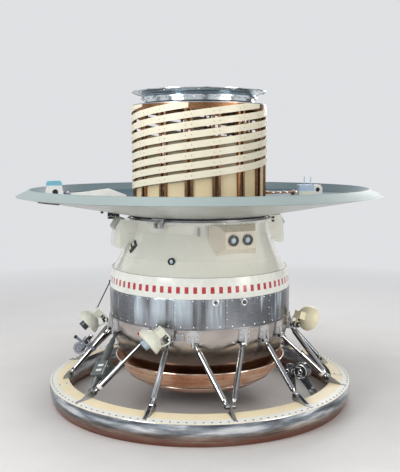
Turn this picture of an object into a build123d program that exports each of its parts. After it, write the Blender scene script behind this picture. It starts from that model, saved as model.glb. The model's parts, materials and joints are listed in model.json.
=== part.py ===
from build123d import *
import math
import os

# A planetary lander of the 1970s as a museum shows it: a spherical hull on a crushable
# landing ring, a wide brake disc round its neck and a helical antenna drum on top.
# Millimetres. Origin on the floor at the middle of the landing ring, +Z up.
# An azimuth is counted in degrees from -Y, the side that faces the viewer, towards +X.

# General clearance between two pieces that only touch
GAP = 0.3

# Landing ring
RING_EDGE_R = 884.0
RING_BULGE = 3.0
RING_BULGE_Z = 75.0
RING_WIDTH = 98.0
RING_WALL_R = RING_EDGE_R - RING_WIDTH
RING_HEEL_Z = 22.0
HEEL_OUTER_R = RING_EDGE_R - 24.0
HEEL_INNER_R = RING_WALL_R + 20.0
DECK_INNER_R = RING_WALL_R - 8.0
DECK_INNER_Z = 141.0
DECK_EDGE_Z = 126.0
DECK_T = 3.0
STRIP_INNER_R = RING_EDGE_R - 39.0
STRIP_T = 1.6

# Hull
HULL_R = 530.0
HULL_CENTRE_Z = 530.0
HULL_BOTTOM_Z = 190.0
SHELL_TOP_Z = 671.0
BAND_STEP = 2.0
BAND_R = HULL_R - BAND_STEP
BAND_TAPER = 15.0
BAND_TOP_R = BAND_R - BAND_TAPER
BAND_TOP_Z = 784.0
NECK_STEP = 4.0
NECK_BASE_R = BAND_TOP_R - NECK_STEP
NECK_SHOULDER_IN = 19.0
NECK_SHOULDER_RISE = 24.0
NECK_TOP_Z = 1066.0
NECK_TOP_R = 403.0
NECK_WAIST_Z = 1001.0
NECK_WAIST_R = 407.0
NECK_FLARE_Z = 861.0
NECK_FLARE_R = 461.0
NECK_CURVE_IN = 32.0
NECK_CURVE_DROP = 66.0

# Pan under the hull
PAN_LIP_INSET = 30.0
PAN_LIP_R = HULL_R - PAN_LIP_INSET
PAN_LIP_Z = 258.0
PAN_FLOOR_INSET = 240.0
PAN_FLOOR_R = HULL_R - PAN_FLOOR_INSET
PAN_FLOOR_Z = 88.0
PAN_SIDE_SAG = 22.0
PAN_T = 6.0
PAN_BOSS_R = 150.0

# Brake disc
DISC_EDGE_R = 1050.0
DISC_EDGE_Z = 1199.0
DISC_LIP_R = DISC_EDGE_R - 74.0
DISC_LIP_Z = 1236.0
DISC_WELL_R = DISC_EDGE_R - 110.0
DISC_WELL_Z = 1192.0
DISC_SEAM_R = DISC_EDGE_R - 20.0
RIM_T = 8.0
DISC_HUB_R = 410.0
DISC_HUB_Z = 1085.0
FLOOR_HUB_R = 368.0
FLOOR_HUB_Z = 1112.0
DISC_T = 4.0
COLLAR_R = 422.0
COLLAR_H = 14.0

# Antenna drum; its cage ends a little below the top of the lander
TOP_Z = 1787.0
TOP_STACK_H = 81.0
CAGE_TOP_Z = TOP_Z - TOP_STACK_H
DRUM_R = 376.0
DRUM_WALL = 5.0
DRUM_DROP = 176.0
DRUM_TOP_Z = CAGE_TOP_Z - DRUM_DROP
SLOT_W = 18.0
SLOT_MARGIN = 22.0
RIB_PAIRS = 16
RIB_FIRST_AZ = 14.1
RIB_W = 14.0
RIB_DEPTH = 11.4
HOOP_H = 34.0
BAND_STARTS = 6
BAND_LEAD = 327.0
HELIX_BAND_H = 37.0
HELIX_BAND_T = 4.0
BAND_START_AZ = -160.0
BAND_START_Z = 1158.8
BAND_END_H = 20.0

# Top flanges
TOP_PLATE_R = 384.0
TOP_PLATE_T = 6.0
TOP_NECK_R = 318.0
LOWER_FLANGE_R = 337.0
FLANGE_SPACING = 43.0
LOWER_FLANGE_Z = TOP_Z - FLANGE_SPACING
LOWER_FLANGE_T = 9.0
UPPER_FLANGE_R = 386.0
UPPER_FLANGE_T = 7.0
FLANGE_BORE_R = 270.0
FLANGE_BOLTS = 12
FLANGE_BOLT_R = 4.5
FLANGE_BOLT_PCD = 740.0

# Struts between the ring and the hull
FOOT_COUNT = 12
FOOT_FIRST_AZ = 11.5
FOOT_PIN_R = RING_WALL_R - 21.0
FOOT_PIN_Z = DECK_INNER_Z + 27.0
FOOT_TOE_R = RING_EDGE_R - 11.0
SHORT_TOE_R = RING_WALL_R + 24.0
FOOT_TOE_W = 30.0
FOOT_TIP_W = 16.0
FOOT_TOE_T = 4.0
V_SPREAD_AZ = 15.3
TOP_PIN_R = HULL_R + 7.0
TOP_PIN_Z = 424.0
STRUT_R = 15.0
STRUT_NECK_R = 9.0
SLEEVE_R = 18.0
BOX_SLEEVE_R = 20.0
ROD_R = 9.5
EYE_R = 13.0
EYE_W = 20.0
LUG_T = 10.0
BRACKET_W = 60.0
BRACKET_H = 66.0
BRACKET_T = 5.0
BRACKET_RISE = 3.0
SEAT_DEPTH = 30.0

# Camera pods, opposite each other
POD_AZ = -72.0
POD_HALF_W = 80.0
POD_BEVEL = 26.0
POD_TOP_Z = 1072.0
POD_TOP_R = 488.0
POD_FALL = 8.0
POD_TIP_R = 522.0
POD_TIP_Z = 1026.0
POD_LOW_Z = 904.0
POD_HOOD_T = 4.0
POD_HOOD_DROP = 16.0
WINDOW_AZ = 14.0
WINDOW_Z = 916.0
WINDOW_W = 46.0
WINDOW_L = 62.0
WINDOW_T = 12.0
WINDOW_TURN = 50.0

# Photometer housing and its two round windows
PHOTO_AZ = 27.4
PHOTO_Z = 974.0
PHOTO_BASE_W = 290.0
PHOTO_BASE_H = 232.0
PHOTO_FACE_W = 186.0
PHOTO_FACE_H = 92.0
PHOTO_BASE_DEPTH = 392.0
PHOTO_FACE_DEPTH = 478.0
PHOTO_WINDOW_PITCH = 88.0
PHOTO_RING_R = 30.0
PHOTO_GLASS_R = 20.0
PHOTO_RING_T = 7.0
PHOTO_GLASS_T = 3.0

# Small fittings on the neck
NOZZLE_AZ = -30.1
NOZZLE_R = 13.0
NOZZLE_THROAT_R = 6.0
NOZZLE_H = 41.0
NOZZLE_PITCH = 42.0
NOZZLE_LIP = 1.5
NOZZLE_BRACKET_W = 78.0
NOZZLE_BRACKET_DEPTH = 26.0
NOZZLE_TOOTH = 6.0
NOZZLE_TEETH = 6
PORT_AZ = -18.8
PORT_Z = 861.0
PORT_R = 20.0
PORT_LENS_R = 11.0
PORT_REACH = 8.0
SENSOR_AZ = -0.4
SENSOR_Z = 1017.0
SENSOR_SIZE = (12.0, 24.0, 44.0)

# Lamps beside the struts
LAMP_REACH = 45.0
LAMP_NEAR_REACH = 32.0
LAMP_HIGH_Z = 468.0
LAMP_LOW_Z = 442.0
LAMP_DISH_R = 75.0
LAMP_DISH_DEPTH = 66.0
LAMP_WALL = 4.0
LAMP_LIFT = 56.0
LAMP_BOX = (50.0, 48.0, 44.0)
LAMP_BOX_START = -14.0
LAMP_BARREL_R = 27.0
LAMP_BARREL_NECK_R = 19.0
LAMP_BARREL_REACH = 32.0
LAMP_PIN_R = 5.0
LAMP_ARM_T = 12.0
LAMP_CHEEK_T = 5.0
LAMP_EYE_R = 12.0
LAMP_PAD_W = 44.0
LAMP_PAD_H = 40.0
LAMP_STEM_W = 18.0
LAMP_STEM_T = 6.0

# Folded booms and sensor units on the disc, one pair on the line of each camera pod
BOOM_PIN_R = 6.0
BOOM_EAR_T = 6.0
BOOM_SIDE_GAP = 1.0
BOOM_RISE = 53.5
WHITE_BOOM_SETBACK = 278.0
WHITE_BOOM_PIVOT_R = DISC_EDGE_R - WHITE_BOOM_SETBACK
WHITE_TIP_CLEARANCE = 29.0
WHITE_BOOM_TIP_R = DISC_HUB_R + WHITE_TIP_CLEARANCE
WHITE_BOOM_W = 34.0
WHITE_KNUCKLE_R = 26.0
COPPER_BOOM_SETBACK = 438.0
COPPER_BOOM_PIVOT_R = DISC_EDGE_R - COPPER_BOOM_SETBACK
COPPER_TIP_CLEARANCE = 10.0
COPPER_BOOM_TIP_R = DISC_HUB_R + COPPER_TIP_CLEARANCE
COPPER_BOOM_W = 40.0
COPPER_TUBE_R = 5.0
COPPER_EYE_R = 12.0
UNIT_HOLE_R = 16.0
WHITE_UNIT_W = 44.0
WHITE_UNIT_SETBACK = 158.0
WHITE_UNIT_OUTER_R = DISC_EDGE_R - WHITE_UNIT_SETBACK
WHITE_UNIT_L = 98.0
WHITE_UNIT_H = 76.5
WHITE_CAP_H = 26.0
COPPER_UNIT_W = 50.0
COPPER_UNIT_SETBACK = 260.0
COPPER_UNIT_OUTER_R = DISC_EDGE_R - COPPER_UNIT_SETBACK
COPPER_BRACKET_L = 59.0
COPPER_BRACKET_H = 71.0
COPPER_BLOCK_L = 96.7
COPPER_BLOCK_H = 41.0
COPPER_BOX_H = 39.7
COPPER_PIN_R = 3.0
COPPER_PIN_H = 48.0

# Instrument box through which one strut passes
BOX_FOOT_AZ = -48.5
BOX_SHARE = 0.345
BOX_W = 95.0
BOX_DEPTH = 60.0
BOX_H = 88.0
BOX_SHIFT = 22.0

# Instrument carried by the radial strut beside the first lamp
SIDE_AZ = -78.5
SIDE_SHARE = 0.56
SIDE_BOX = 47.0
SIDE_BOX_T = 34.0
SIDE_BOX_OFFSET = 52.0
SIDE_PAD_R = 34.0
SIDE_PAD_T = 14.0
SIDE_CLAMP_T = 6.0
SIDE_CLAMP_H = 20.0
SIDE_ARM_R = 8.0
SIDE_ARM_L = 44.0
SIDE_ARM_DROP = 12.0

# Soil probe on an arm at the ring's inner wall
PROBE_AZ = 55.0
PROBE_PIVOT_R = RING_WALL_R - 38.0
PROBE_PIVOT_Z = 152.0
PROBE_HEAD_R = 35.0
PROBE_HEAD_REACH = 136.0
PROBE_HEAD_LOW_Z = 205.0
PROBE_HEAD_HIGH_Z = 276.0
PROBE_CASE_R = 48.0
PROBE_CASE_W = 44.0
PROBE_CASE_REACH = 62.0
PROBE_CASE_Z = 248.0
PROBE_BLADE_W = 20.0
PROBE_BLADE_LOW_Z = 122.0
PROBE_ARM_W = 26.0
PROBE_EYE_R = 12.0

# Fittings that hang under the disc
FITTING_AZ = -88.0
FITTING_INNER_R = 470.0
FITTING_L = 66.0
FITTING_W = 54.0
FITTING_DROP = 38.0
PIPE_R = 8.0
PIPE_L = 170.0
PIPE_SHIFT = 25.0

os.makedirs("parts", exist_ok=True)


def write(name, *pieces):
    """One file per node; the solids of a node stay separate inside it."""
    shapes = [member for piece in pieces for member in (piece if isinstance(piece, list) else [piece])]
    solids = [solid for member in shapes for solid in member.solids()]
    shape = solids[0] if len(solids) == 1 else Compound(solids)
    export_step(shape, "parts/" + name + ".step")


def turned(shape, azimuth):
    """Carry a piece modelled at azimuth 0, facing -Y, round the axis."""
    return Rot(0, 0, azimuth) * shape


def polar(radius, azimuth, z):
    """A point at a radius, an azimuth and a height."""
    angle = math.radians(azimuth)
    return Vector(radius * math.sin(angle), -radius * math.cos(angle), z)


def lathe(*edges):
    """Revolve an outline of edges in (radius, height) round the vertical axis."""
    return revolve(Plane.XZ * make_face(list(edges)), Axis.Z, 360)


def lathe_points(*points):
    """Revolve a straight-edged outline of (radius, height) points."""
    return revolve(Plane.XZ * make_face(Polyline(*points, close=True)), Axis.Z, 360)


def radial_slab(width, *points):
    """A slab of an outline in (outward distance, height), centred on azimuth 0."""
    outline = Plane(origin=(0, 0, 0), x_dir=(0, -1, 0), z_dir=(-1, 0, 0))
    face = outline * make_face(Polyline(*points, close=True))
    return extrude(face, width / 2, both=True)


def outward_disc(radius, start, length, x, z):
    """A round boss that points outward at azimuth 0, from a distance, over a length."""
    plane = Plane(origin=(x, -start, z), x_dir=(1, 0, 0), z_dir=(0, -1, 0))
    return extrude(plane * Circle(radius), length)


def side_disc(radius, x, length, outward, z):
    """A round pin along the tangent at azimuth 0."""
    plane = Plane(origin=(x, -outward, z), x_dir=(0, 1, 0), z_dir=(1, 0, 0))
    return extrude(plane * Circle(radius), length)


def box_at(size_x, size_y, size_z, x, y, z):
    """A block by its size and its centre."""
    return Pos(x, y, z) * Box(size_x, size_y, size_z)


def everywhere_above(z):
    """A block over the whole model from a height upward, to cut with."""
    span = 4 * DISC_EDGE_R
    return Pos(0, 0, z + TOP_Z) * Box(span, span, 2 * TOP_Z)


def deck_z(radius):
    """Height of the deck's upper side at a radius."""
    share = (radius - DECK_INNER_R) / (RING_EDGE_R - DECK_INNER_R)
    return DECK_INNER_Z + share * (DECK_EDGE_Z - DECK_INNER_Z)


def floor_z(radius):
    """Height of the disc floor's upper side at a radius."""
    share = (radius - FLOOR_HUB_R) / (DISC_WELL_R - FLOOR_HUB_R)
    return FLOOR_HUB_Z + share * (DISC_WELL_Z - FLOOR_HUB_Z)


def underside_z(radius):
    """Height of the disc's lower side at a radius."""
    share = (radius - DISC_HUB_R) / (DISC_EDGE_R - DISC_HUB_R)
    return DISC_HUB_Z + share * (DISC_EDGE_Z - DISC_HUB_Z)


def landing_ring():
    """Crushable torus: flat heel, bulging outer wall, upright inner wall."""
    top_outer = (RING_EDGE_R, DECK_EDGE_Z - DECK_T)
    top_inner = (RING_WALL_R, deck_z(RING_WALL_R) - DECK_T)
    heel_outer = (HEEL_OUTER_R, 0)
    heel_inner = (HEEL_INNER_R, 0)
    wall_foot = (RING_WALL_R, RING_HEEL_Z)
    ring = lathe(
        ThreePointArc(heel_outer, (RING_EDGE_R + RING_BULGE, RING_BULGE_Z), top_outer),
        Line(top_outer, top_inner),
        Line(top_inner, wall_foot),
        Line(wall_foot, heel_inner),
        Line(heel_inner, heel_outer),
    )
    write("landing_ring", ring)


def ring_deck():
    """Thin sloping plate on the ring, and the riveted edge strip on it."""
    deck = lathe_points(
        (DECK_INNER_R, DECK_INNER_Z),
        (RING_EDGE_R, DECK_EDGE_Z),
        (RING_EDGE_R, DECK_EDGE_Z - DECK_T),
        (DECK_INNER_R, DECK_INNER_Z - DECK_T),
    )
    write("ring_deck", deck)
    strip = lathe_points(
        (STRIP_INNER_R, deck_z(STRIP_INNER_R)),
        (STRIP_INNER_R, deck_z(STRIP_INNER_R) + STRIP_T),
        (RING_EDGE_R, DECK_EDGE_Z + STRIP_T),
        (RING_EDGE_R, DECK_EDGE_Z),
    )
    write("ring_edge_strip", strip)


def foot(web_t, shifts, toe_r):
    """Tapered toe plate on the deck with upright webs at the given shifts to its sides."""
    toe_inner = DECK_INNER_R
    on_strip = STRIP_INNER_R - 1
    web_end = min(toe_r, on_strip)
    web = radial_slab(
        web_t,
        (FOOT_PIN_R - EYE_R - 1, FOOT_PIN_Z - 22),
        (FOOT_PIN_R - EYE_R - 3, FOOT_PIN_Z + 8),
        (FOOT_PIN_R, FOOT_PIN_Z + EYE_R + 3),
        (FOOT_PIN_R + EYE_R + 3, FOOT_PIN_Z + 8),
        (web_end, deck_z(web_end) + FOOT_TOE_T),
        (web_end, deck_z(web_end)),
        (toe_inner, deck_z(toe_inner)),
        (toe_inner - 1, deck_z(toe_inner)),
        (toe_inner - 1, DECK_INNER_Z - 10),
    )
    toe = radial_slab(
        FOOT_TOE_W,
        (toe_inner, deck_z(toe_inner)),
        (toe_inner, deck_z(toe_inner) + FOOT_TOE_T),
        (web_end, deck_z(web_end) + FOOT_TOE_T),
        (web_end, deck_z(web_end)),
    )
    if toe_r > on_strip:
        toe = toe + radial_slab(
            FOOT_TOE_W,
            (on_strip - 1, deck_z(on_strip - 1) + STRIP_T),
            (on_strip - 1, deck_z(on_strip - 1) + STRIP_T + FOOT_TOE_T),
            (toe_r, deck_z(toe_r) + STRIP_T + FOOT_TOE_T),
            (toe_r, deck_z(toe_r) + STRIP_T),
        )
    plan = Polyline((-FOOT_TOE_W / 2, -toe_inner), (FOOT_TOE_W / 2, -toe_inner), (FOOT_TIP_W / 2, -FOOT_TOE_R),
                    (-FOOT_TIP_W / 2, -FOOT_TOE_R), close=True)
    toe = toe & extrude(Plane.XY * make_face(plan), 2 * DECK_INNER_Z)
    return toe + [Pos(x, 0, 0) * web for x in shifts]


def strut(low, high, stations):
    """A tube from low to high; stations give (distance, radius) along it."""
    axis = high - low
    plane = Plane(origin=low, z_dir=axis)
    outline = [(0, stations[0][0])]
    outline += [(radius, station) for station, radius in stations]
    outline += [(0, stations[-1][0])]
    return plane * lathe_points(*outline)


def plain_stations(length):
    """Tube with necked ends."""
    return [(0, STRUT_NECK_R), (22, STRUT_NECK_R), (36, STRUT_R), (length - 46, STRUT_R),
            (length - 28, STRUT_NECK_R), (length, STRUT_NECK_R)]


def damper_stations(length):
    """Thick sleeve below, rod above, with a collar at each end of the sleeve."""
    sleeve_end = 0.58 * length
    return [(0, STRUT_NECK_R), (22, STRUT_NECK_R), (32, SLEEVE_R), (50, SLEEVE_R),
            (50, SLEEVE_R - 1.5), (sleeve_end - 14, SLEEVE_R - 1.5), (sleeve_end - 14, SLEEVE_R + 1.5),
            (sleeve_end, SLEEVE_R + 1.5), (sleeve_end, ROD_R), (length - 46, ROD_R),
            (length - 40, STRUT_NECK_R), (length, STRUT_NECK_R)]


def box_strut_stations(length):
    """Thick sleeve over most of the length, in the strut that carries the instrument box."""
    return [(0, STRUT_NECK_R), (22, STRUT_NECK_R), (36, STRUT_R), (52, BOX_SLEEVE_R),
            (0.78 * length, BOX_SLEEVE_R), (0.8 * length, STRUT_R), (length - 46, STRUT_R),
            (length - 28, STRUT_NECK_R), (length, STRUT_NECK_R)]


def eye(centre, azimuth):
    """Round strut end on a tangential pin."""
    pin = Plane(origin=centre, z_dir=polar(1, azimuth + 90, 0))
    return extrude(pin * Circle(EYE_R), EYE_W / 2, both=True)


def strut_ends(foot_az, foot_side, top_az, top_side):
    """Centres of a strut's eyes, which lie at a side of the foot's web and of the bracket's lug."""
    low = polar(FOOT_PIN_R, foot_az, FOOT_PIN_Z) + polar(foot_side, foot_az + 90, 0)
    high = polar(TOP_PIN_R, top_az, TOP_PIN_Z) + polar(top_side, top_az + 90, 0)
    return low, high


def strut_with_eyes(foot_az, foot_side, top_az, top_side, stations):
    """A strut with its two eyes."""
    low, high = strut_ends(foot_az, foot_side, top_az, top_side)
    tube = strut(low, high, stations((high - low).length))
    return tube + eye(low, foot_az) + eye(high, top_az)


def bracket(lug_t, shifts):
    """Plate seated on the hull at azimuth 0, with a lug at each shift for a strut's upper eye."""
    face_r = HULL_R + BRACKET_T
    seat_r = HULL_R - SEAT_DEPTH
    low_z = TOP_PIN_Z + EYE_R + BRACKET_RISE
    high_z = low_z + BRACKET_H
    plate = radial_slab(BRACKET_W, (seat_r, low_z), (seat_r, high_z), (face_r, high_z), (face_r, low_z))
    lug_tip = max(TOP_PIN_R + EYE_R + 1, face_r + 8)
    lug_top = low_z + 0.6 * BRACKET_H
    lug = radial_slab(
        lug_t,
        (seat_r, lug_top),
        (face_r + 4, lug_top),
        (lug_tip, TOP_PIN_Z + 8),
        (lug_tip, TOP_PIN_Z - 8),
        (TOP_PIN_R + 4, TOP_PIN_Z - EYE_R),
        (TOP_PIN_R - EYE_R, TOP_PIN_Z - EYE_R),
        (seat_r, low_z),
    )
    return (plate + [Pos(x, 0, 0) * lug for x in shifts]) - hull_solid(GAP)


def struts():
    """Twelve feet, every other one with a V of two struts, the rest with a radial strut."""
    side = LUG_T / 2 + EYE_W / 2 + GAP
    fork_side = EYE_W / 2 + GAP + LUG_T / 4
    v_feet, radial_feet, v_struts, dampers, radial_struts, brackets = [], [], [], [], [], []
    v_bracket = bracket(LUG_T, (0,))
    fork_bracket = bracket(LUG_T / 2, (-fork_side, fork_side))
    for number in range(FOOT_COUNT):
        azimuth = FOOT_FIRST_AZ + number * 360 / FOOT_COUNT
        if number % 2 == 0:
            v_feet.append(turned(foot(LUG_T, (0,), FOOT_TOE_R), azimuth))
            for hand in (-1, 1):
                top_az = azimuth + hand * V_SPREAD_AZ
                # The struts that face the neighbouring lamp are the damped ones
                damped = (number, hand) in ((2, -1), (10, 1), (4, 1), (8, -1))
                brackets.append(turned(v_bracket, top_az))
                if damped:
                    dampers.append(strut_with_eyes(azimuth, hand * side, top_az, -hand * side, damper_stations))
                elif (number, hand) == (10, -1):
                    box_strut = strut_with_eyes(azimuth, hand * side, top_az, -hand * side, box_strut_stations)
                else:
                    v_struts.append(strut_with_eyes(azimuth, hand * side, top_az, -hand * side, plain_stations))
        else:
            # Two opposite feet have no toe over the deck
            toe_r = SHORT_TOE_R if number in (3, 9) else FOOT_TOE_R
            radial_feet.append(turned(foot(LUG_T / 2, (-fork_side, fork_side), toe_r), azimuth))
            radial_struts.append(strut_with_eyes(azimuth, 0, azimuth, 0, plain_stations))
            brackets.append(turned(fork_bracket, azimuth))
    write("ring_v_feet", *v_feet)
    write("ring_radial_feet", *radial_feet)
    write("v_struts", *v_struts)
    write("box_strut", box_strut)
    write("damper_struts", *dampers)
    write("radial_struts", *radial_struts)
    write("strut_brackets", *brackets)


def hull_radius(z):
    """Radius of the lower shell's outside at a height below its equator."""
    return math.sqrt(HULL_R ** 2 - (HULL_CENTRE_Z - z) ** 2)


def hull_solid(swell):
    """The lower shell, or the shell grown outward by a clearance to cut what sits on it."""
    bottom = (hull_radius(HULL_BOTTOM_Z) + swell, HULL_BOTTOM_Z)
    middle_z = (HULL_BOTTOM_Z + HULL_CENTRE_Z) / 2
    middle = (hull_radius(middle_z) + swell, middle_z)
    waist = (HULL_R + swell, HULL_CENTRE_Z)
    top = (HULL_R + swell, SHELL_TOP_Z)
    return lathe(
        Line((0, HULL_BOTTOM_Z), bottom),
        ThreePointArc(bottom, middle, waist),
        Line(waist, top),
        Line(top, (0, SHELL_TOP_Z)),
        Line((0, SHELL_TOP_Z), (0, HULL_BOTTOM_Z)),
    )


def lower_shell():
    """Polished shell: round below, straight above, closed by a flat underneath."""
    write("lower_shell", hull_solid(0))


def upper_shell():
    """Plain band above the metal, and the bell-shaped neck on it."""
    band = lathe(
        Line((0, SHELL_TOP_Z), (BAND_R, SHELL_TOP_Z)),
        ThreePointArc((BAND_R, SHELL_TOP_Z), (BAND_R - 4, (SHELL_TOP_Z + BAND_TOP_Z) / 2),
                      (BAND_TOP_R, BAND_TOP_Z)),
        Line((BAND_TOP_R, BAND_TOP_Z), (0, BAND_TOP_Z)),
        Line((0, BAND_TOP_Z), (0, SHELL_TOP_Z)),
    )
    write("hull_band", band)
    write("upper_shell", neck_solid(0))


def neck_solid(swell):
    """The neck, or the neck grown outward by a clearance to cut what sits on it."""
    base = (NECK_BASE_R + swell, BAND_TOP_Z)
    shoulder = (NECK_BASE_R - NECK_SHOULDER_IN + swell, BAND_TOP_Z + NECK_SHOULDER_RISE)
    flare = (NECK_FLARE_R + swell, NECK_FLARE_Z)
    curve = (NECK_FLARE_R - NECK_CURVE_IN + swell, NECK_WAIST_Z - NECK_CURVE_DROP)
    waist = (NECK_WAIST_R + swell, NECK_WAIST_Z)
    top = (NECK_TOP_R + swell, NECK_TOP_Z)
    return lathe(
        Line((0, BAND_TOP_Z), base),
        ThreePointArc(base, shoulder, flare),
        ThreePointArc(flare, curve, waist),
        Line(waist, top),
        Line(top, (0, NECK_TOP_Z)),
        Line((0, NECK_TOP_Z), (0, BAND_TOP_Z)),
    )


def pan():
    """Shallow dish that cups the hull, on a boss under the hull's flat."""
    inner_floor_z = PAN_FLOOR_Z + PAN_T
    middle_r = (PAN_LIP_R + PAN_FLOOR_R) / 2 + PAN_SIDE_SAG
    middle_z = (PAN_LIP_Z + PAN_FLOOR_Z) / 2 - PAN_SIDE_SAG
    dish = lathe(
        Line((0, PAN_FLOOR_Z), (PAN_FLOOR_R, PAN_FLOOR_Z)),
        ThreePointArc((PAN_FLOOR_R, PAN_FLOOR_Z), (middle_r, middle_z), (PAN_LIP_R, PAN_LIP_Z)),
        Line((PAN_LIP_R, PAN_LIP_Z), (PAN_LIP_R - PAN_T, PAN_LIP_Z)),
        ThreePointArc((PAN_LIP_R - PAN_T, PAN_LIP_Z), (middle_r - PAN_T * 0.7, middle_z + PAN_T * 0.7),
                      (PAN_FLOOR_R, inner_floor_z)),
        Line((PAN_FLOOR_R, inner_floor_z), (0, inner_floor_z)),
        Line((0, inner_floor_z), (0, PAN_FLOOR_Z)),
    )
    write("pan", dish)
    height = HULL_BOTTOM_Z - inner_floor_z
    boss = Pos(0, 0, inner_floor_z + height / 2) * Cylinder(PAN_BOSS_R, height)
    write("pan_boss", boss)


def brake_disc():
    """Double-skinned disc: conical underside, sharp rim with a raised lip, dished floor."""
    collar_in = NECK_WAIST_R + GAP
    collar = lathe_points(
        (collar_in, NECK_TOP_Z - COLLAR_H), (COLLAR_R, NECK_TOP_Z - COLLAR_H),
        (COLLAR_R, NECK_TOP_Z), (collar_in, NECK_TOP_Z),
    )
    write("disc_collar", collar)
    hub = lathe_points((0, NECK_TOP_Z), (DISC_HUB_R - 20, NECK_TOP_Z), (DISC_HUB_R - 20, DISC_HUB_Z),
                       (FLOOR_HUB_R - 8, DISC_HUB_Z), (FLOOR_HUB_R - 8, FLOOR_HUB_Z), (0, FLOOR_HUB_Z))
    write("disc_hub", hub)
    underside = lathe_points(
        (DISC_HUB_R - 40, DISC_HUB_Z), (DISC_HUB_R, DISC_HUB_Z),
        (DISC_SEAM_R, underside_z(DISC_SEAM_R)),
        (DISC_SEAM_R, underside_z(DISC_SEAM_R) + DISC_T),
        (DISC_HUB_R, DISC_HUB_Z + DISC_T), (DISC_HUB_R - 40, DISC_HUB_Z + DISC_T),
    )
    write("disc_underside", underside)
    lip_inner = DISC_LIP_R - 5
    seam_in = DISC_SEAM_R + GAP
    slope = (DISC_LIP_Z - DISC_EDGE_Z) / (DISC_EDGE_R - DISC_LIP_R)
    seam_top = DISC_EDGE_Z + slope * (DISC_EDGE_R - seam_in) - RIM_T
    rim = lathe_points(
        (seam_in, underside_z(seam_in)), (DISC_EDGE_R, DISC_EDGE_Z),
        (DISC_LIP_R, DISC_LIP_Z), (lip_inner, DISC_LIP_Z),
        (DISC_WELL_R, DISC_WELL_Z), (DISC_WELL_R, DISC_WELL_Z - DISC_T),
        (lip_inner + 3, DISC_LIP_Z - RIM_T), (seam_in, seam_top),
    )
    write("disc_rim", rim)
    floor = lathe_points(
        (FLOOR_HUB_R, FLOOR_HUB_Z), (DISC_WELL_R - GAP, DISC_WELL_Z),
        (DISC_WELL_R - GAP, DISC_WELL_Z - DISC_T), (FLOOR_HUB_R, FLOOR_HUB_Z - DISC_T),
    )
    write("disc_floor", floor)


def antenna_drum():
    """Slotted drum, paired ribs with a hoop, and a helix of six bands round them."""
    base_z = floor_z(DRUM_R) + GAP
    drum = lathe_points((DRUM_R - DRUM_WALL, base_z), (DRUM_R, base_z), (DRUM_R, DRUM_TOP_Z),
                        (DRUM_R - DRUM_WALL, DRUM_TOP_Z))
    slot_low = base_z + SLOT_MARGIN
    slot_high = DRUM_TOP_Z - SLOT_MARGIN
    slot = box_at(SLOT_W, 40, slot_high - slot_low, 0, -DRUM_R, (slot_low + slot_high) / 2)
    azimuths = [RIB_FIRST_AZ + number * 360 / RIB_PAIRS for number in range(RIB_PAIRS)]
    drum = drum - [turned(slot, azimuth) for azimuth in azimuths]
    write("antenna_drum", drum)
    rib_inner = DRUM_R + GAP
    rib_outer = rib_inner + RIB_DEPTH
    rib_side = (SLOT_W + RIB_W) / 2
    rib = box_at(RIB_W, RIB_DEPTH, CAGE_TOP_Z - base_z, 0, -rib_inner - RIB_DEPTH / 2,
                 (CAGE_TOP_Z + base_z) / 2)
    foot_clear = floor_z(rib_outer) + GAP
    rib = rib - box_at(RIB_W * 2, RIB_DEPTH * 4, 20, 0, -rib_inner, foot_clear - 10)
    hoop = lathe_points((rib_inner, CAGE_TOP_Z - HOOP_H), (rib_outer, CAGE_TOP_Z - HOOP_H),
                        (rib_outer, CAGE_TOP_Z), (rib_inner, CAGE_TOP_Z))
    ribs = hoop + [turned(Pos(side, 0, 0) * rib, azimuth)
                   for azimuth in azimuths for side in (-rib_side, rib_side)]
    ribs = ribs & lathe_points((0, 0), (rib_outer, 0), (rib_outer, TOP_Z), (0, TOP_Z))
    write("antenna_ribs", ribs)
    bands = []
    band_inner = rib_outer + GAP
    middle_r = band_inner + HELIX_BAND_T / 2
    above_cage = everywhere_above(CAGE_TOP_Z)
    for number in range(BAND_STARTS):
        low_z = BAND_START_Z + number * BAND_LEAD / BAND_STARTS
        turn = (CAGE_TOP_Z - BAND_END_H - low_z) * 360 / BAND_LEAD
        # Each band ends on a rib
        end_az = RIB_FIRST_AZ + round((BAND_START_AZ + turn - RIB_FIRST_AZ) * RIB_PAIRS / 360) * 360 / RIB_PAIRS
        rise = (end_az - BAND_START_AZ) * BAND_LEAD / 360
        middle_z = low_z + HELIX_BAND_H / 2
        path = Helix(pitch=BAND_LEAD, height=rise, radius=middle_r, center=(0, 0, middle_z))
        section = Plane(origin=(middle_r, 0, middle_z), x_dir=(1, 0, 0), z_dir=(0, -1, 0))
        band = sweep(section * Rectangle(HELIX_BAND_T, HELIX_BAND_H), path=path, is_frenet=True)
        bands.append(turned(band - above_cage, BAND_START_AZ - 90))
    write("antenna_helix", *bands)


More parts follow.
